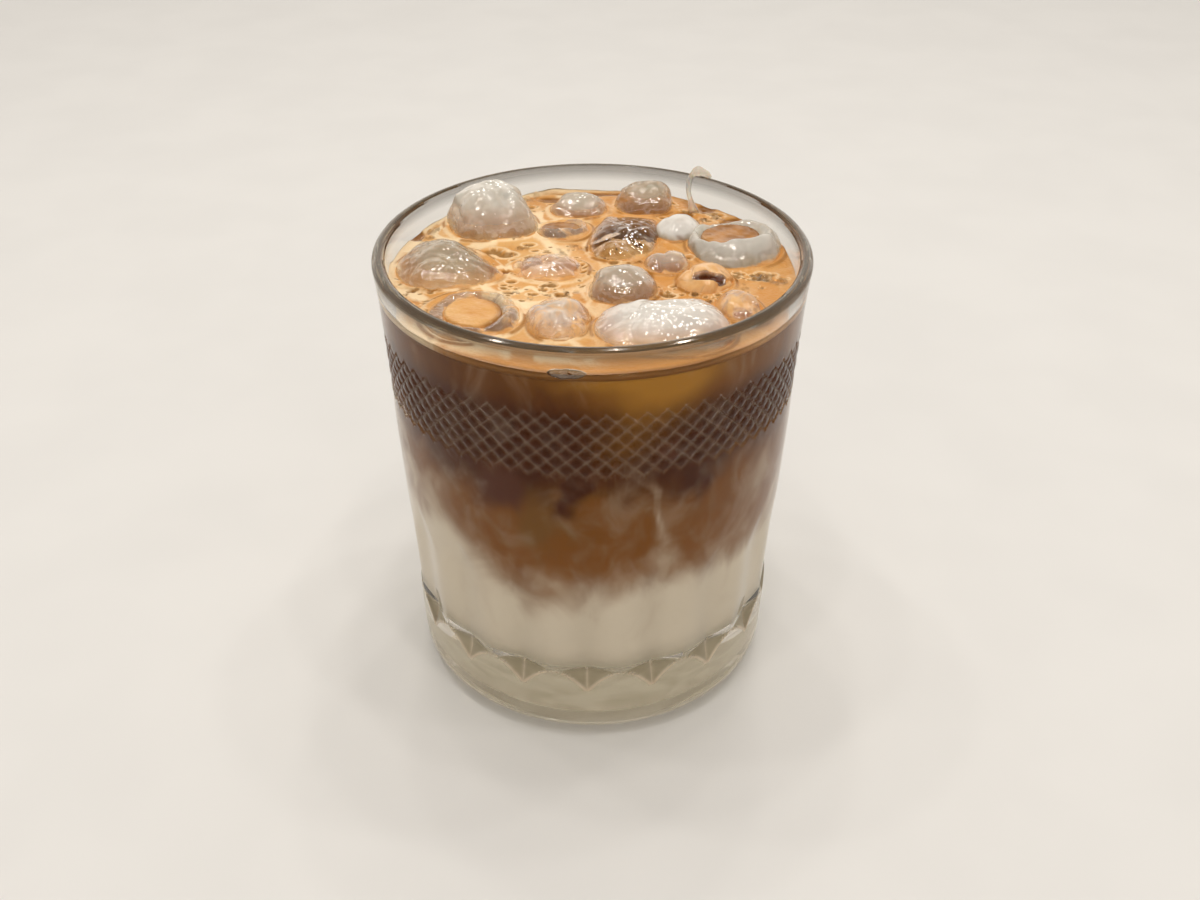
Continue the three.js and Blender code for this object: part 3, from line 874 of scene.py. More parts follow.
LUMPS = (
    Lump("ice_back_left", (9.4, 8.9, 7.6), 20, square=2.7, taper=-0.12, cloud=0.96, stain=0.42,
         cuts=(((0.1, -0.75, 0.62), 0.82), ((0.9, -0.2, 0.45), 0.86), ((-0.3, 0.5, 0.8), 0.9)),
         painted_glint=0.75),
    Lump("ice_left_disc", (11.0, 9.6, 5.0), -18, square=2.0, taper=0.3, cloud=0.82, stain=1.0,
         cuts=(((0.5, 0.6, 0.6), 0.78), ((-0.1, -0.4, 0.9), 0.93)), wear=0.5),
    Lump("ice_left_ring", (9.0, 10.2, 4.1), 35, cloud=0.6, stain=0.6, foam=0.4,
         hollow=((0.0, 0.0, 3.2), (5.9, 6.5, 3.0)), pool=(90.1, 0.0)),
    Lump("ice_right_ring", (9.6, 9.8, 5.4), 15, square=2.3, cloud=1.0, stain=0.35,
         hollow=((-0.4, 1.8, 4.6), (6.8, 6.2, 5.0)), pool=(91.4, 1.15), wear=0.6),
    Lump("ice_front_egg", (12.6, 9.6, 5.1), 8, square=2.3, taper=-0.12, cloud=0.95, stain=0.08,
         cuts=(((-0.2, -0.75, 0.62), 0.82), ((0.1, 0.7, 0.7), 0.86)), painted_glint=0.9, wear=0.7),
    Lump("ice_centre_dome", (7.0, 6.5, 4.8), 10, cloud=0.8, stain=0.7, below=0.5,
         cuts=((GLINT, 0.88),), painted_glint=0.55, wear=0.6),
    Lump("ice_front_left", (5.7, 7.9, 4.2), 0, cloud=0.75, stain=0.4, foam=0.5),
    Lump("ice_clear_chunk", (7.1, 10.6, 4.8), -12, square=2.8, cloud=0.2, stain=1.0, below=1.6,
         cuts=(((0.3, -0.5, 0.85), 0.85), ((-0.4, -0.5, 0.8), 0.87), ((0.1, 0.6, 0.8), 0.9)),
         painted_glint=0.8),
    Lump("ice_small_oval", (5.3, 4.2, 3.8), 25, cloud=1.2, stain=0.02, wear=0.5),
    Lump("ice_clear_small", (4.5, 4.4, 3.4), 0, cloud=0.7, stain=0.5, foam=0.2, below=0.4),
    Lump("ice_back_lump", (6.2, 5.7, 4.7), 0, square=2.5, cloud=0.78, stain=0.85, below=0.5,
         cuts=((GLINT, 0.92),)),
    Lump("ice_back_flat", (6.3, 4.8, 3.4), 12, square=2.6, cloud=0.85, stain=0.65,
         cuts=((GLINT, 0.9),), painted_glint=0.5),
    Lump("ice_clear_flat", (8.0, 5.8, 3.0), -8, cloud=0.5, stain=0.3, foam=0.3, below=0.3,
         cuts=((GLINT, 0.9),), painted_glint=0.7),
    Lump("ice_slit_dome", (5.6, 5.2, 4.4), 0, cloud=0.4, stain=0.6, foam=0.85, below=1.6,
         hollow=((0.4, -2.0, 3.6), (3.0, 1.0, 1.5))),
    Lump("ice_right_lump", (4.7, 5.7, 3.6), 20, cloud=0.6, stain=0.4, foam=0.6),
    Lump("ice_back_hollow", (6.0, 5.2, 3.2), 0, cloud=0.6, stain=0.5, foam=0.35,
         hollow=((-0.6, 0.8, 2.6), (4.4, 3.0, 2.2)), pool=(90.0, 1.2)),
)

ICE_SUBDIVISIONS = 6
WALL_GAP = 0.25
ICE_SEED = 200
FACETS = 4
FACET_EDGE = 0.05
FACET_TILT = (0.25, 0.85)
FACET_SHARE = (0.84, 0.94)
HAZE_GAIN = 1.12
CLEAR_EDGE = 0.42
CLEAR_RING_EDGE = 0.15


def unit_ball(subdivisions):
    """Points and faces of an even ball of radius 1."""
    ball = bmesh.new()
    bmesh.ops.create_icosphere(ball, subdivisions=subdivisions, radius=1.0)
    points = np.array([v.co[:] for v in ball.verts])
    faces = [[v.index for v in f.verts] for f in ball.faces]
    ball.free()
    return points, faces


class ICED_OT_ice(bpy.types.Operator):
    """Drops the melting ice lumps into the crema, cloudy inside and clear towards their edges"""

    bl_idname = "iced.ice"
    bl_label = "Drop the ice"

    def execute(self, context):
        look = context.scene.iced_drink
        finish = ice_finish(context.scene.iced_ice, look)
        ball, faces = unit_ball(ICE_SUBDIVISIONS)
        level = mm(look.level)
        for number, lump in enumerate(LUMPS):
            points = self.shape(ball, lump, number)
            reach = np.hypot(points[:, 0], points[:, 1])
            room = bore_radius(context.scene.iced_tumbler, points[:, 2]) - WALL_GAP
            points[:, :2] *= np.minimum(1.0, room / np.maximum(reach, 1e-6))[:, None]
            edge = np.linalg.norm(ball[:, :2], axis=1)
            slit = self.slit(points, lump)
            clear = CLEAR_RING_EDGE if lump.hollow else CLEAR_EDGE
            haze = HAZE_GAIN * lump.cloud - clear * smoothstep(0.5, 1.0, edge)
            stain = lump.stain + 0.15 * smoothstep(0.6, 1.0, edge)
            low = smoothstep(level + 0.75 * lump.half[2], level + 0.1, points[:, 2])
            masks = {
                "haze": np.maximum(np.clip(haze, 0.0, 1.0), slit),
                "slit": slit,
                # painted glints on the upper front
                "painted_glint": self.painted_glint(points, lump),
                # painted light at the foot of the lump, near the crema
                "edge": 0.75 * low,
                "glassy": np.clip(1.2 - 1.2 * lump.cloud + 0.45 * edge**3, 0.08, 1.0) * (1.0 - slit),
                "stain": np.clip(stain, 0.0, 1.0),
                "foam": self.foam(points, lump, level) * (1.0 - 1.5 * slit),
            }
            piece = make_piece("melting_" + lump.node, points, faces, finish, masks)
            # light passes through the ice into the crema under it
            piece.visible_shadow = False
            seat(piece, "ice", lump.node)
        return {"FINISHED"}

    @staticmethod
    def shape(ball, lump, number):
        """Points of one lump: a rounded block, worn by melting, with its hollow."""
        n = lump.square
        half = lump.half
        size = (np.abs(ball) ** n).sum(axis=1) ** (1.0 / n)
        p = ball / size[:, None]
        # melting leaves broad flats with soft edges
        draw = np.random.default_rng(ICE_SEED + number)
        cuts = list(lump.cuts)
        for _ in range(FACETS):
            side = draw.uniform(0.0, 2.0 * math.pi)
            tilt = draw.uniform(*FACET_TILT)
            level = math.sqrt(1.0 - tilt * tilt)
            facing = (level * math.cos(side), level * math.sin(side), tilt)
            cuts.append((facing, draw.uniform(*FACET_SHARE)))
        dual = n / (n - 1.0)
        for facing, share in cuts:
            facing = np.array(facing) / np.linalg.norm(facing)
            limit = share * (np.abs(facing) ** dual).sum() ** (1.0 / dual)
            over = np.logaddexp(0.0, (p @ facing - limit) / FACET_EDGE) * FACET_EDGE
            p = p - over[:, None] * facing
        p[:, 2] *= np.where(p[:, 2] > 0.0, 1.0 / p[:, 2].max(), 1.0)
        p = p * half
        narrow = 1.0 - lump.taper * p[:, 0] / half[0]
        p[:, 1] *= narrow
        p[:, 2] *= 0.5 + 0.5 * narrow
        swell = (noise(p + 50.0 * number, 6.0, 31, 2) - 0.5) * 2.0
        dimple = (noise(p + 80.0 * number, 2.2, 47, 2) - 0.5) * 0.45
        channel = np.abs(noise(p + 20.0 * number, 5.5, 83, 2) - 0.5)
        crease = smoothstep(0.14, 0.0, channel) * 0.45
        p = p + ball * (lump.wear * (swell + dimple - crease))[:, None]
        if lump.hollow:
            at, bowl_half = lump.hollow
            across = np.hypot((p[:, 0] - at[0]) / bowl_half[0], (p[:, 1] - at[1]) / bowl_half[1])
            across += (noise(p * (1, 1, 0) + 30.0 * number, 4.0, 61, 2) - 0.5) * 0.16
            dip = smoothstep(1.2, 0.62, across) * smoothstep(0.0, 0.6, p[:, 2])
            p[:, 2] += (np.minimum(at[2] - bowl_half[2], p[:, 2]) - p[:, 2]) * dip
        c, s = math.cos(lump.turn), math.sin(lump.turn)
        turned = np.stack([p[:, 0] * c - p[:, 1] * s, p[:, 0] * s + p[:, 1] * c, p[:, 2]], axis=1)
        return turned + lump.at

    @staticmethod
    def painted_glint(points, lump):
        """Painted glints gather on the upper front of a lump."""
        u, v = lump.local(points[:, 0], points[:, 1])
        spread = ((u / lump.half[0] - 0.1) / 0.6) ** 2 + ((v / lump.half[1] + 0.2) / 0.55) ** 2
        return lump.painted_glint * np.exp(-spread) * (points[:, 2] > lump.at[2])

    @staticmethod
    def slit(points, lump):
        """1 in a hollow that holds no pool, where the ice is painted dark as shade in the hollow."""
        if not lump.hollow or lump.pool:
            return np.zeros(len(points))
        return smoothstep(1.15, 0.85, lump.bowl(points[:, 0], points[:, 1]))

    @staticmethod
    def foam(points, lump, level):
        """Foam clings to the foot of every lump, and covers some."""
        foot = 0.85 * smoothstep(level + 1.5, level + 0.1, points[:, 2])
        return np.maximum(foot, lump.foam)


CREMA_RINGS = 165
CREMA_COLUMNS = 500
CREMA_REACH = 0.1
HOLE_COUNT = 330
HOLE_SEED = 11
# Larger holes in the crema: middle and half width
BIG_HOLES = (
    (-20.0, 7.9, 2.3), (-12.9, 11.5, 1.2), (-15.6, -5.4, 1.0), (-9.5, -8.6, 1.0), (-36.4, 6.0, 1.0),
)
# Fields that the small holes lie in: middle and spread
HOLE_FIELDS = (
    (-14.0, 6.0, 5.0, 4.0), (-12.0, -9.0, 7.0, 3.0), (-4.0, -4.0, 5.0, 5.0), (-14.0, 30.0, 4.0, 2.5),
    (31.0, -3.5, 4.0, 1.0), (22.0, -13.0, 7.0, 4.0), (-34.0, -12.0, 2.5, 7.0),
    (24.0, 27.0, 6.0, 3.0), (14.0, 2.0, 5.0, 8.0),
)
# Open coffee in the crema: middle and half widths
POOLS = (
    (-8.4, 34.6, 4.5, 2.0),
    (1.0, 37.6, 11.0, 1.0),
    (24.6, 29.4, 2.4, 2.2),
    (-36.2, 15.2, 1.8, 2.6),
    (10.6, -3.2, 1.6, 2.6),
    (29.5, 22.5, 2.6, 2.4),
    (19.5, 26.0, 2.0, 2.2),
    (-18.5, -1.5, 3.2, 1.0),
    (8.0, -21.5, 1.8, 2.4),
)


class ICED_OT_crema(bpy.types.Operator):
    """Lays the crema with its bubbles, lacing and pools round the ice"""

    bl_idname = "iced.crema"
    bl_label = "Lay the crema"

    def execute(self, context):
        sizes = context.scene.iced_tumbler
        look = context.scene.iced_drink
        level = mm(look.level)
        edge = float(bore_radius(sizes, level)) + CREMA_REACH
        shares = np.linspace(0.0, 1.0, CREMA_RINGS + 1)[1:]
        angles = full_turn(CREMA_COLUMNS)
        a, r = np.meshgrid(angles, shares[::-1] * edge)
        flat = ring_points(r, a, np.zeros(r.shape)).reshape(-1, 3)
        field = self.foam(flat, level, edge)
        self.punch_holes(field, flat, edge)
        self.open_pools(field, flat)
        for lump in LUMPS:
            self.sink_under(field, flat, lump, level)
        height = field.pop("height")
        field["pool"] = np.clip(field["pool"], 0.0, 1.0)
        field["lace"] = field["lace"] * (1.0 - field["pool"])
        # where the foam climbs, it follows the lean of the wall
        wall = np.hypot(flat[:, 0], flat[:, 1])
        top = np.stack([flat[:, 0], flat[:, 1], height], axis=1)
        lean = np.where(wall > edge - 0.6, sizes.bore_taper * np.clip(height - level, 0, 4), 0.0)
        top[:, :2] *= (1.0 + lean / np.maximum(wall, 1.0))[:, None]
        # a plug below fills the recess in the drink
        side = level - mm(look.crema_side) + 0.02
        deepest = RECESS_FLOOR + 0.1
        plug = ((edge - RECESS_EDGE - 0.5, deepest), (edge - RECESS_EDGE - 0.1, side), (edge, side))
        under = [
            ring_points(np.full(CREMA_COLUMNS, radius), angles, np.full(CREMA_COLUMNS, z))
            for radius, z in plug
        ]
        points = np.vstack([*under, top, [[0.0, 0.0, deepest], [0.0, 0.0, height[-1]]]])
        faces = capped_faces(CREMA_RINGS + len(plug), CREMA_COLUMNS)
        masks = {}
        for name, values in field.items():
            rims = [values[:CREMA_COLUMNS]] * len(plug)
            masks[name] = np.concatenate([*rims, values, values[-1:], values[-1:]])
        piece = make_piece("crema_layer", points, faces, crema_finish(look), masks)
        seat(piece, "crema", "crema")
        return {"FINISHED"}

    @staticmethod
    def foam(flat, level, edge):
        """The foam's height and masks, with its veins, its edge at the wall and its wet seams."""
        x, y = flat[:, 0], flat[:, 1]
        count = len(flat)
        away = edge - np.hypot(x, y)
        left = smoothstep(14.0, -14.0, x)
        front = smoothstep(-26.0, -36.0, y)
        inside = np.full(count, 1e3)
        for lump in LUMPS:
            rho, mean = lump.spread(x, y, level)
            inside = np.minimum(inside, (rho - 1.0) * mean)
        swell, rough = noise(flat, 9.0, 5, 2) - 0.5, noise(flat, 1.8, 6, 2) - 0.5
        height = level + swell * 0.5 + rough * 0.16
        toffee = 1.1 * noise(flat, 6.5, 8, 3) + 0.2 * (1.0 - left)
        # pale veins run between the lumps, most on the left
        drift = np.stack([noise(flat, 8.0, 12, 2), noise(flat, 8.0, 13, 2), np.zeros(count)], axis=1)
        vein = np.abs(noise(flat + drift * 8.0, 7.5, 11, 2) - 0.5) * 2.0
        lace = (1.0 - smoothstep(0.02, 0.3, vein)) * (0.3 + 0.7 * left)
        lace = np.maximum(lace, np.exp(-((inside - 0.5) / 0.6) ** 2) * (0.3 + 0.45 * left))
        # foam clings to the wall, highest at the left and the back
        patchy = smoothstep(0.3, 0.8, noise(flat, 9.0, 14, 2))
        cling = 0.2 + 1.2 * patchy * left * smoothstep(-30.0, 10.0, y)
        height += np.exp(-away / 0.45) * cling
        lace = np.maximum(lace, smoothstep(2.4, 0.2, away) * (0.3 + 0.6 * left) * (1.0 - front))
        toffee += 0.5 * front * smoothstep(5.0, 0.0, away)
        pool = 0.85 * front * smoothstep(2.0, 0.0, away)
        lace = lace * (1.0 - 0.8 * front * smoothstep(6.0, 2.0, away))
        # it climbs a little at the ice, and brown lines of open-coffee colour run along parts of it
        height += 0.6 * np.exp(-np.abs(inside) / 0.8)
        seam = np.exp(-(((inside - 0.35) / 0.35) ** 2))
        seam = seam * smoothstep(0.44, 0.58, noise(flat, 6.0, 21, 2))
        pool = np.maximum(pool, 0.75 * seam)
        return {
            "height": height, "lace": lace, "toffee": toffee, "pool": pool,
            "hole": np.zeros(count), "deep": np.zeros(count),
        }

    @staticmethod
    def punch_holes(field, flat, edge):
        """Open holes and bubbles, most of them left of the middle."""
        x, y = flat[:, 0], flat[:, 1]
        height, lace, hole = field["height"], field["lace"], field["hole"]
        draw = np.random.default_rng(HOLE_SEED)
        spots = [(hx, hy, size, size * 0.7) for hx, hy, size in BIG_HOLES]
        for _ in range(HOLE_COUNT):
            middle_x, middle_y, spread_x, spread_y = HOLE_FIELDS[draw.integers(len(HOLE_FIELDS))]
            hx = draw.normal(middle_x, spread_x)
            hy = draw.normal(middle_y, spread_y)
            size = 0.22 + draw.gamma(1.5, 0.16)
            spots.append((hx, hy, size * 1.35, size * 0.85))
        for hx, hy, half_x, half_y in spots:
            if math.hypot(hx, hy) > edge - 1.2:
                continue
            near = (np.abs(x - hx) < 3.0 * half_x) & (np.abs(y - hy) < 3.0 * half_x)
            gone = np.hypot((x[near] - hx) / half_x, (y[near] - hy) / half_y)
            hole[near] = np.maximum(hole[near], 1.0 - smoothstep(0.55, 1.1, gone))
            lace[near] = np.maximum(lace[near], 0.7 * np.exp(-((gone - 1.35) / 0.3) ** 2))
            height[near] -= 0.5 * half_y * np.clip(1.0 - gone**2, 0.0, 1.0)
            height[near] += 0.12 * half_y * np.exp(-((gone - 1.25) / 0.3) ** 2)

    @staticmethod
    def open_pools(field, flat):
        """Coffee shows in a few ragged pools."""
        x, y = flat[:, 0], flat[:, 1]
        ragged = (noise(flat, 3.0, 19, 2) - 0.5) * 0.8
        for px, py, rx, ry in POOLS:
            wet = 1.0 - smoothstep(0.55, 1.15, np.hypot((x - px) / rx, (y - py) / ry) + ragged)
            field["pool"] = np.maximum(field["pool"], wet)
            field["height"] -= 0.3 * wet

    @staticmethod
    def sink_under(field, flat, lump, level):
        """Under a lump the crema gives way to coffee, and a hollow holds a pool."""
        x, y = flat[:, 0], flat[:, 1]
        height, lace, pool = field["height"], field["lace"], field["pool"]
        rho, mean = lump.spread(x, y, level)
        sink = smoothstep(-1.2, -2.6, (rho - 1.0) * mean)
        keel = np.maximum(lump.keel(x, y) - 0.4, RECESS_FLOOR + 0.6)
        height = height * (1.0 - sink) + np.minimum(height, keel) * sink
        pool = np.maximum(pool * (1.0 - sink), min(lump.below, 1.0) * sink)
        lace = lace * (1.0 - sink)
        field["deep"] = np.maximum(field["deep"], (lump.below - 1.0) * sink)
        field["hole"] = field["hole"] * (1.0 - sink)
        if lump.pool:
            pool_level, darkness = lump.pool
            bowl = lump.bowl(x, y)
            wet = smoothstep(1.0, 0.86, bowl)
            height = height * (1.0 - wet) + (pool_level + 0.5 * noise(flat, 2.5, 3, 2)) * wet
            pool = pool * (1.0 - wet) + darkness * wet * (0.2 + 1.3 * noise(flat, 4.0, 24, 2))
            lace = lace * (1.0 - wet) + 0.3 * noise(flat, 3.0, 4) * wet
            # a crescent of open-coffee colour lies along the right inner edge
            crescent = smoothstep(0.62, 0.9, bowl) * smoothstep(1.0, 4.0, x - lump.at[0])
            pool = np.maximum(pool, crescent * wet)
        field.update(height=height, lace=lace, pool=pool)


SLIVER_AT = -6.2
SLIVER_HEIGHT = 89.45
SLIVER_HALF = (3.4, 0.5, 1.05)
SLIVER_SUBDIVISIONS = 4
SLIVER_LOOK = {"haze": 0.55, "stain": 0.8, "glassy": 0.5}


class ICED_OT_sliver(bpy.types.Operator):
    """Rests a last sliver of ice against the front wall"""

    bl_idname = "iced.sliver"
    bl_label = "Rest the sliver"

    def execute(self, context):
        ball, faces = unit_ball(SLIVER_SUBDIVISIONS)
        p = ball * SLIVER_HALF
        p += ball * ((noise(p + 9.0, 1.6, 71, 2) - 0.5) * 0.5)[:, None]
        p[:, 1] -= 0.2 * np.exp(-((p[:, 0] / 2.4) ** 2 + (p[:, 2] / 0.6) ** 2)) * (ball[:, 1] > 0.0)
        reach = float(bore_radius(context.scene.iced_tumbler, SLIVER_HEIGHT)) - 0.05
        angle = math.radians(SLIVER_AT) + p[:, 0] / reach
        points = ring_points(reach + p[:, 1], angle, SLIVER_HEIGHT + p[:, 2])
        masks = {name: np.full(len(points), level) for name, level in SLIVER_LOOK.items()}
        finish = ice_finish(context.scene.iced_ice, context.scene.iced_drink)
        piece = make_piece("wall_sliver_ice", points, faces, finish, masks)
        piece.visible_shadow = False
        seat(piece, "ice")
        return {"FINISHED"}


# Bubbles on the crema: start, end, spread, least and greatest radius, and how many
BUBBLE_ROWS = (
    ((30.6, -3.1), (36.9, -5.3), 0.5, 0.45, 0.95, 12),
    ((27.5, -5.0), (31.0, -9.0), 0.9, 0.3, 0.6, 8),
    ((33.0, 21.5), (36.0, 17.0), 0.9, 0.6, 1.5, 9),
    ((-35.0, 12.0), (-31.5, 23.0), 0.8, 0.4, 1.0, 12),
    ((-18.0, 31.5), (-12.0, 35.0), 1.0, 0.35, 0.8, 9),
    ((-14.5, 7.0), (-2.0, 8.5), 1.6, 0.3, 0.75, 16),
    ((-15.0, -9.5), (2.0, -12.0), 1.4, 0.25, 0.6, 18),
    ((-33.0, -14.0), (-28.0, -27.0), 0.9, 0.25, 0.6, 12),
    ((19.0, -12.5), (22.5, -15.0), 0.6, 0.3, 0.7, 8),
    ((-2.5, 11.0), (1.0, 5.0), 0.8, 0.35, 0.8, 8),
    ((21.0, 22.0), (29.0, 26.5), 1.0, 0.4, 0.9, 9),
)
BUBBLE_SUBDIVISIONS = 3
BUBBLE_SINK = 0.25
BUBBLE_SEED = 23


class ICED_OT_bubbles(bpy.types.Operator):
    """Scatters glossy bubbles over the crema"""

    bl_idname = "iced.bubbles"
    bl_label = "Scatter the bubbles"

    def execute(self, context):
        look = context.scene.iced_drink
        level = mm(look.level)
        reach = float(bore_radius(context.scene.iced_tumbler, level))
        ball, ball_faces = unit_ball(BUBBLE_SUBDIVISIONS)
        draw = np.random.default_rng(BUBBLE_SEED)
        points, faces = [], []
        for start, end, spread, least, most, count in BUBBLE_ROWS:
            for share in np.linspace(0.0, 1.0, count):
                at = np.array(start) * (1.0 - share) + np.array(end) * share
                at = at + draw.normal(0.0, spread, 2)
                radius = draw.uniform(least, most)
                squash = draw.uniform(0.6, 0.9)
                if math.hypot(*at) > reach - radius or self.in_ice(at, level, radius):
                    continue
                up = radius * squash * (1.0 - 2.0 * BUBBLE_SINK)
                middle = np.array([at[0], at[1], level + up])
                faces += [[v + len(points) * len(ball) for v in face] for face in ball_faces]
                points.append(ball * (radius, radius, radius * squash) + middle)
        piece = make_piece("crema_bubbles", np.vstack(points), faces, bubble_finish())
        seat(piece, "crema")
        return {"FINISHED"}

    @staticmethod
    def in_ice(at, level, radius):
        """Whether a bubble would stand in a lump of ice."""
        for lump in LUMPS:
            rho, mean = lump.spread(at[0], at[1], level)
            if (rho - 1.0) * mean < radius * 0.6:
                return True
        return False


DRIBBLE_SIDES = 24
DRIBBLE_STEPS = 60
# Middle line of the dribble from the crema up the bore and over the rim, and its half width
DRIBBLE_PATH = (
    (21.8, 27.4, 89.3, 1.0),
    (21.2, 29.8, 90.6, 0.7),
    (20.7, 32.2, 92.4, 0.55),
    (21.0, 33.6, 94.5, 0.6),
    (21.9, 34.0, 95.65, 0.85),
    (23.0, 34.2, 96.0, 1.1),
    (24.4, 34.4, 95.45, 0.75),
    (25.4, 34.4, 94.45, 0.45),
)


class ICED_OT_dribble(bpy.types.Operator):
    """Hangs the pale dribble over the rim"""

    bl_idname = "iced.dribble"
    bl_label = "Hang the dribble"

    def execute(self, context):
        spots = np.array(DRIBBLE_PATH)
        along = np.linspace(0.0, len(spots) - 1.0, DRIBBLE_STEPS)
        line = self.curve(spots, along)
        middle, width = line[:, :3], line[:, 3]
        ahead = np.gradient(middle, axis=0)
        ahead /= np.linalg.norm(ahead, axis=1)[:, None]
        side = np.cross(ahead, [0.55, 0.83, 0.0])
        side /= np.linalg.norm(side, axis=1)[:, None]
        other = np.cross(ahead, side)
        turn = full_turn(DRIBBLE_SIDES)[None, :, None]
        out = side[:, None] * np.cos(turn) + other[:, None] * np.sin(turn)
        lumpy = 1.0 + 0.12 * np.sin(3.1 * along)[:, None]
        points = middle[:, None] + out * (width[:, None] * lumpy)[..., None]
        points = np.vstack([points.reshape(-1, 3), [middle[0], middle[-1]]])
        faces = capped_faces(DRIBBLE_STEPS, DRIBBLE_SIDES)
        finish = cream_finish(context.scene.iced_ice)
        piece = make_piece("rim_dribble_strand", points, faces, finish)
        seat(piece, "cream", "rim_dribble")
        return {"FINISHED"}

    @staticmethod
    def curve(spots, along):
        """Smooth curve through the spots."""
        i = np.clip(along.astype(int), 0, len(spots) - 2)
        t = (along - i)[:, None]
        before, here = spots[np.maximum(i - 1, 0)], spots[i]
        after, beyond = spots[i + 1], spots[np.minimum(i + 2, len(spots) - 1)]
        return 0.5 * (
            2.0 * here + (after - before) * t
            + (2.0 * before - 5.0 * here + 4.0 * after - beyond) * t**2
            + (3.0 * here - before - 3.0 * after + beyond) * t**3
        )


CAMERA_LENS = 38.67
CAMERA_PITCH = math.radians(33.87)
CAMERA_DISTANCE = 0.27625
CAMERA_AIM = 0.0468
CAMERA_SHIFT = 7.6 / 1200.0
WALLS = (1.0, 0.93, 0.84)
CEILING = (0.17, 0.157, 0.14)
SIDES = (0.4, 0.37, 0.33)
LAMP_COUNT = 12
LAMP_SPREAD = 0.42
LAMP_HEIGHT = 0.97
LAMP_BACK = 0.04
LAMP_SIZE = 0.05
LAMP_POWER = 0.48
LAMP_COLOUR = (1.0, 0.94, 0.86)
LAMP_AIM = Vector((0.0, 0.0, 0.07))
GOLDEN_ANGLE = math.pi * (3.0 - math.sqrt(5.0))
WORLD_STRENGTH = 1.55
FLOOR_HALF = 3000.0


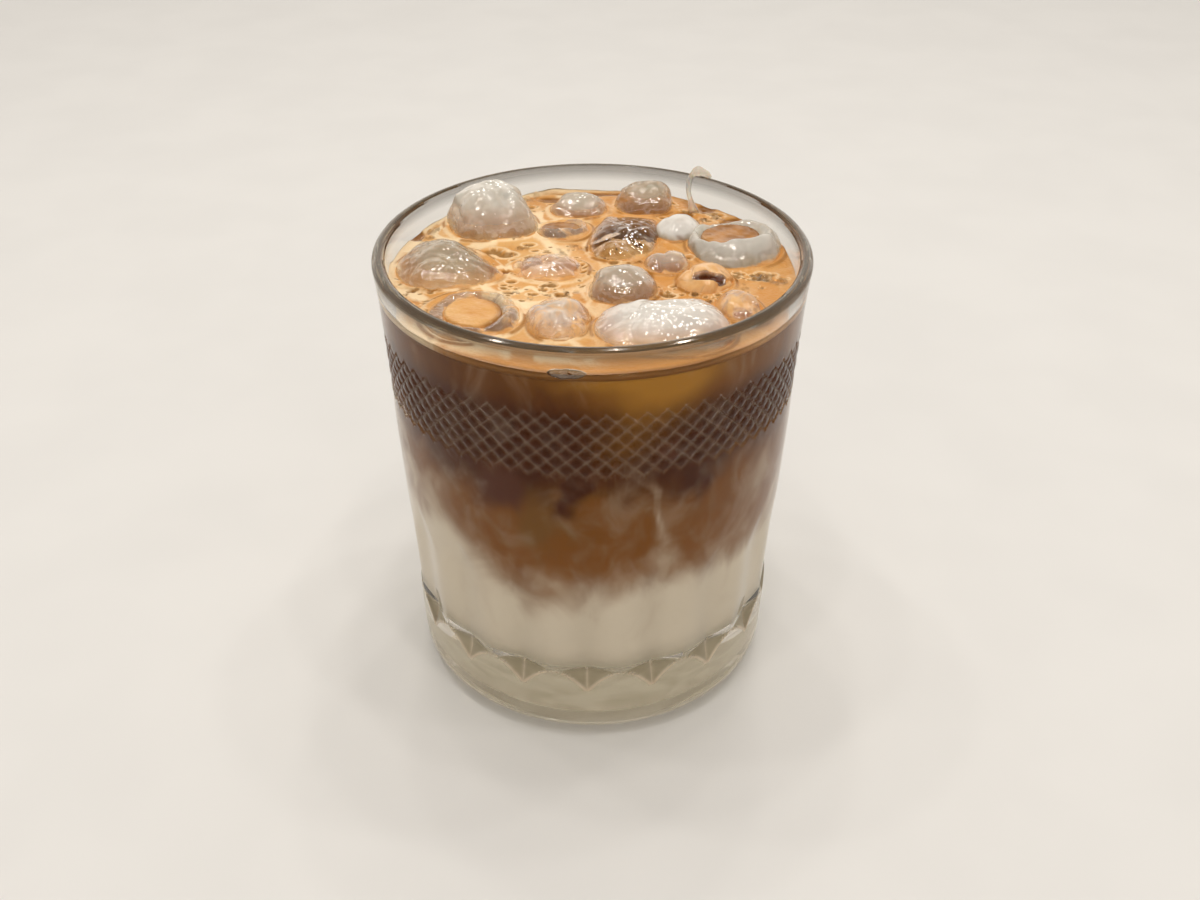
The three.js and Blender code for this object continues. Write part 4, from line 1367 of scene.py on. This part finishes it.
class ICED_OT_stage(bpy.types.Operator):
    """Sets the pale floor, the soft light and the camera"""

    bl_idname = "iced.stage"
    bl_label = "Set the stage"

    def execute(self, context):
        scene = context.scene
        scene.view_settings.view_transform = "Standard"
        scene.view_settings.look = "None"
        self.floor()
        self.world(scene)
        self.lamps()
        camera = bpy.data.cameras.new("photo_camera")
        camera.lens = CAMERA_LENS
        camera.sensor_width = 36.0
        camera.shift_x = CAMERA_SHIFT
        camera.clip_start = 0.01
        camera.clip_end = 20.0
        holder = bpy.data.objects.new("photo_camera", camera)
        holder.location = (
            0.0,
            -CAMERA_DISTANCE * math.cos(CAMERA_PITCH),
            CAMERA_AIM + CAMERA_DISTANCE * math.sin(CAMERA_PITCH),
        )
        holder.rotation_euler = (math.pi / 2.0 - CAMERA_PITCH, 0.0, 0.0)
        scene.collection.objects.link(holder)
        scene.camera = holder
        return {"FINISHED"}

    @staticmethod
    def floor():
        f = Finish("pale_floor")
        speck = f.grain(40.0, detail=2.0)
        tone = f.mix(f.range(speck, 0.3, 0.7), (0.73, 0.735, 0.74), (0.75, 0.755, 0.76))
        finish = f.output(f.surface(Base_Color=tone, Roughness=0.6, Specular_IOR_Level=0.2))
        corners = np.array([[-1, -1, 0], [1, -1, 0], [1, 1, 0], [-1, 1, 0]]) * FLOOR_HALF
        make_piece("pale_floor", corners, [[0, 1, 2, 3]], finish)

    @staticmethod
    def world(scene):
        """Bright low walls under a dimmer ceiling."""
        world = bpy.data.worlds.new("studio")
        f = Finish("studio", world)
        where = f.node("ShaderNodeTexCoord", None, None, "Generated")
        split = f.node("ShaderNodeSeparateXYZ", None, {0: where}, "Z")
        across = f.node("ShaderNodeSeparateXYZ", None, {0: where}, "X")
        wide = f.node("ShaderNodeMath", {"operation": "ABSOLUTE"}, {0: across})
        low = f.range(split, 0.3, 0.85, 1.0, 0.0)
        sides = f.range(wide, 0.5, 0.9) * f.range(split, 0.02, 0.12) * f.range(split, 0.75, 0.5)
        tone = f.mix(low, CEILING, WALLS)
        tone = f.mix(sides * 0.85, tone, SIDES)
        glow = f.node("ShaderNodeBackground", None, {"Color": tone, "Strength": WORLD_STRENGTH})
        f.node("ShaderNodeOutputWorld", None, {"Surface": glow})
        scene.world = world

    @staticmethod
    def lamps():
        """Small round lamps overhead give the ice its sparkles."""
        for number in range(LAMP_COUNT):
            turn = number * GOLDEN_ANGLE
            out = LAMP_SPREAD * math.sqrt((number + 0.5) / LAMP_COUNT)
            spot = (out * math.cos(turn), LAMP_BACK + out * math.sin(turn), LAMP_HEIGHT)
            light = bpy.data.lights.new(f"lamp_{number}", "AREA")
            light.shape = "DISK"
            light.size = LAMP_SIZE
            light.energy = LAMP_POWER
            light.color = LAMP_COLOUR
            lamp = bpy.data.objects.new(f"lamp_{number}", light)
            lamp.location = spot
            aim = LAMP_AIM - Vector(spot)
            lamp.rotation_euler = aim.to_track_quat("-Z", "Y").to_euler()
            bpy.context.scene.collection.objects.link(lamp)


class ICED_PT_panel(bpy.types.Panel):
    """Lists the steps of the drink"""

    bl_idname = "ICED_PT_panel"
    bl_label = "Iced Coffee"
    bl_space_type = "VIEW_3D"
    bl_region_type = "UI"
    bl_category = "Iced Coffee"

    def draw(self, context):
        for step in STEPS:
            self.layout.operator(step.bl_idname)
        for group in (context.scene.iced_tumbler, context.scene.iced_drink, context.scene.iced_ice):
            box = self.layout.box()
            for prop in group.bl_rna.properties:
                if not prop.is_readonly and prop.identifier != "name":
                    box.prop(group, prop.identifier)


STEPS = (
    ICED_OT_tumbler, ICED_OT_drink, ICED_OT_ice, ICED_OT_crema, ICED_OT_sliver, ICED_OT_bubbles,
    ICED_OT_dribble, ICED_OT_stage,
)
GROUPS = (TumblerSizes, DrinkLook, IceLook)


def register():
    for group in GROUPS:
        bpy.utils.register_class(group)
    for step in STEPS:
        bpy.utils.register_class(step)
    bpy.utils.register_class(ICED_PT_panel)
    bpy.types.Scene.iced_tumbler = bpy.props.PointerProperty(type=TumblerSizes)
    bpy.types.Scene.iced_drink = bpy.props.PointerProperty(type=DrinkLook)
    bpy.types.Scene.iced_ice = bpy.props.PointerProperty(type=IceLook)


def unregister():
    del bpy.types.Scene.iced_ice
    del bpy.types.Scene.iced_drink
    del bpy.types.Scene.iced_tumbler
    bpy.utils.unregister_class(ICED_PT_panel)
    for step in reversed(STEPS):
        bpy.utils.unregister_class(step)
    for group in reversed(GROUPS):
        bpy.utils.unregister_class(group)


def main():
    register()
    bpy.ops.iced.tumbler()
    bpy.ops.iced.drink()
    bpy.ops.iced.ice()
    bpy.ops.iced.crema()
    bpy.ops.iced.sliver()
    bpy.ops.iced.bubbles()
    bpy.ops.iced.dribble()
    bpy.ops.iced.stage()


if __name__ == "__main__":
    main()
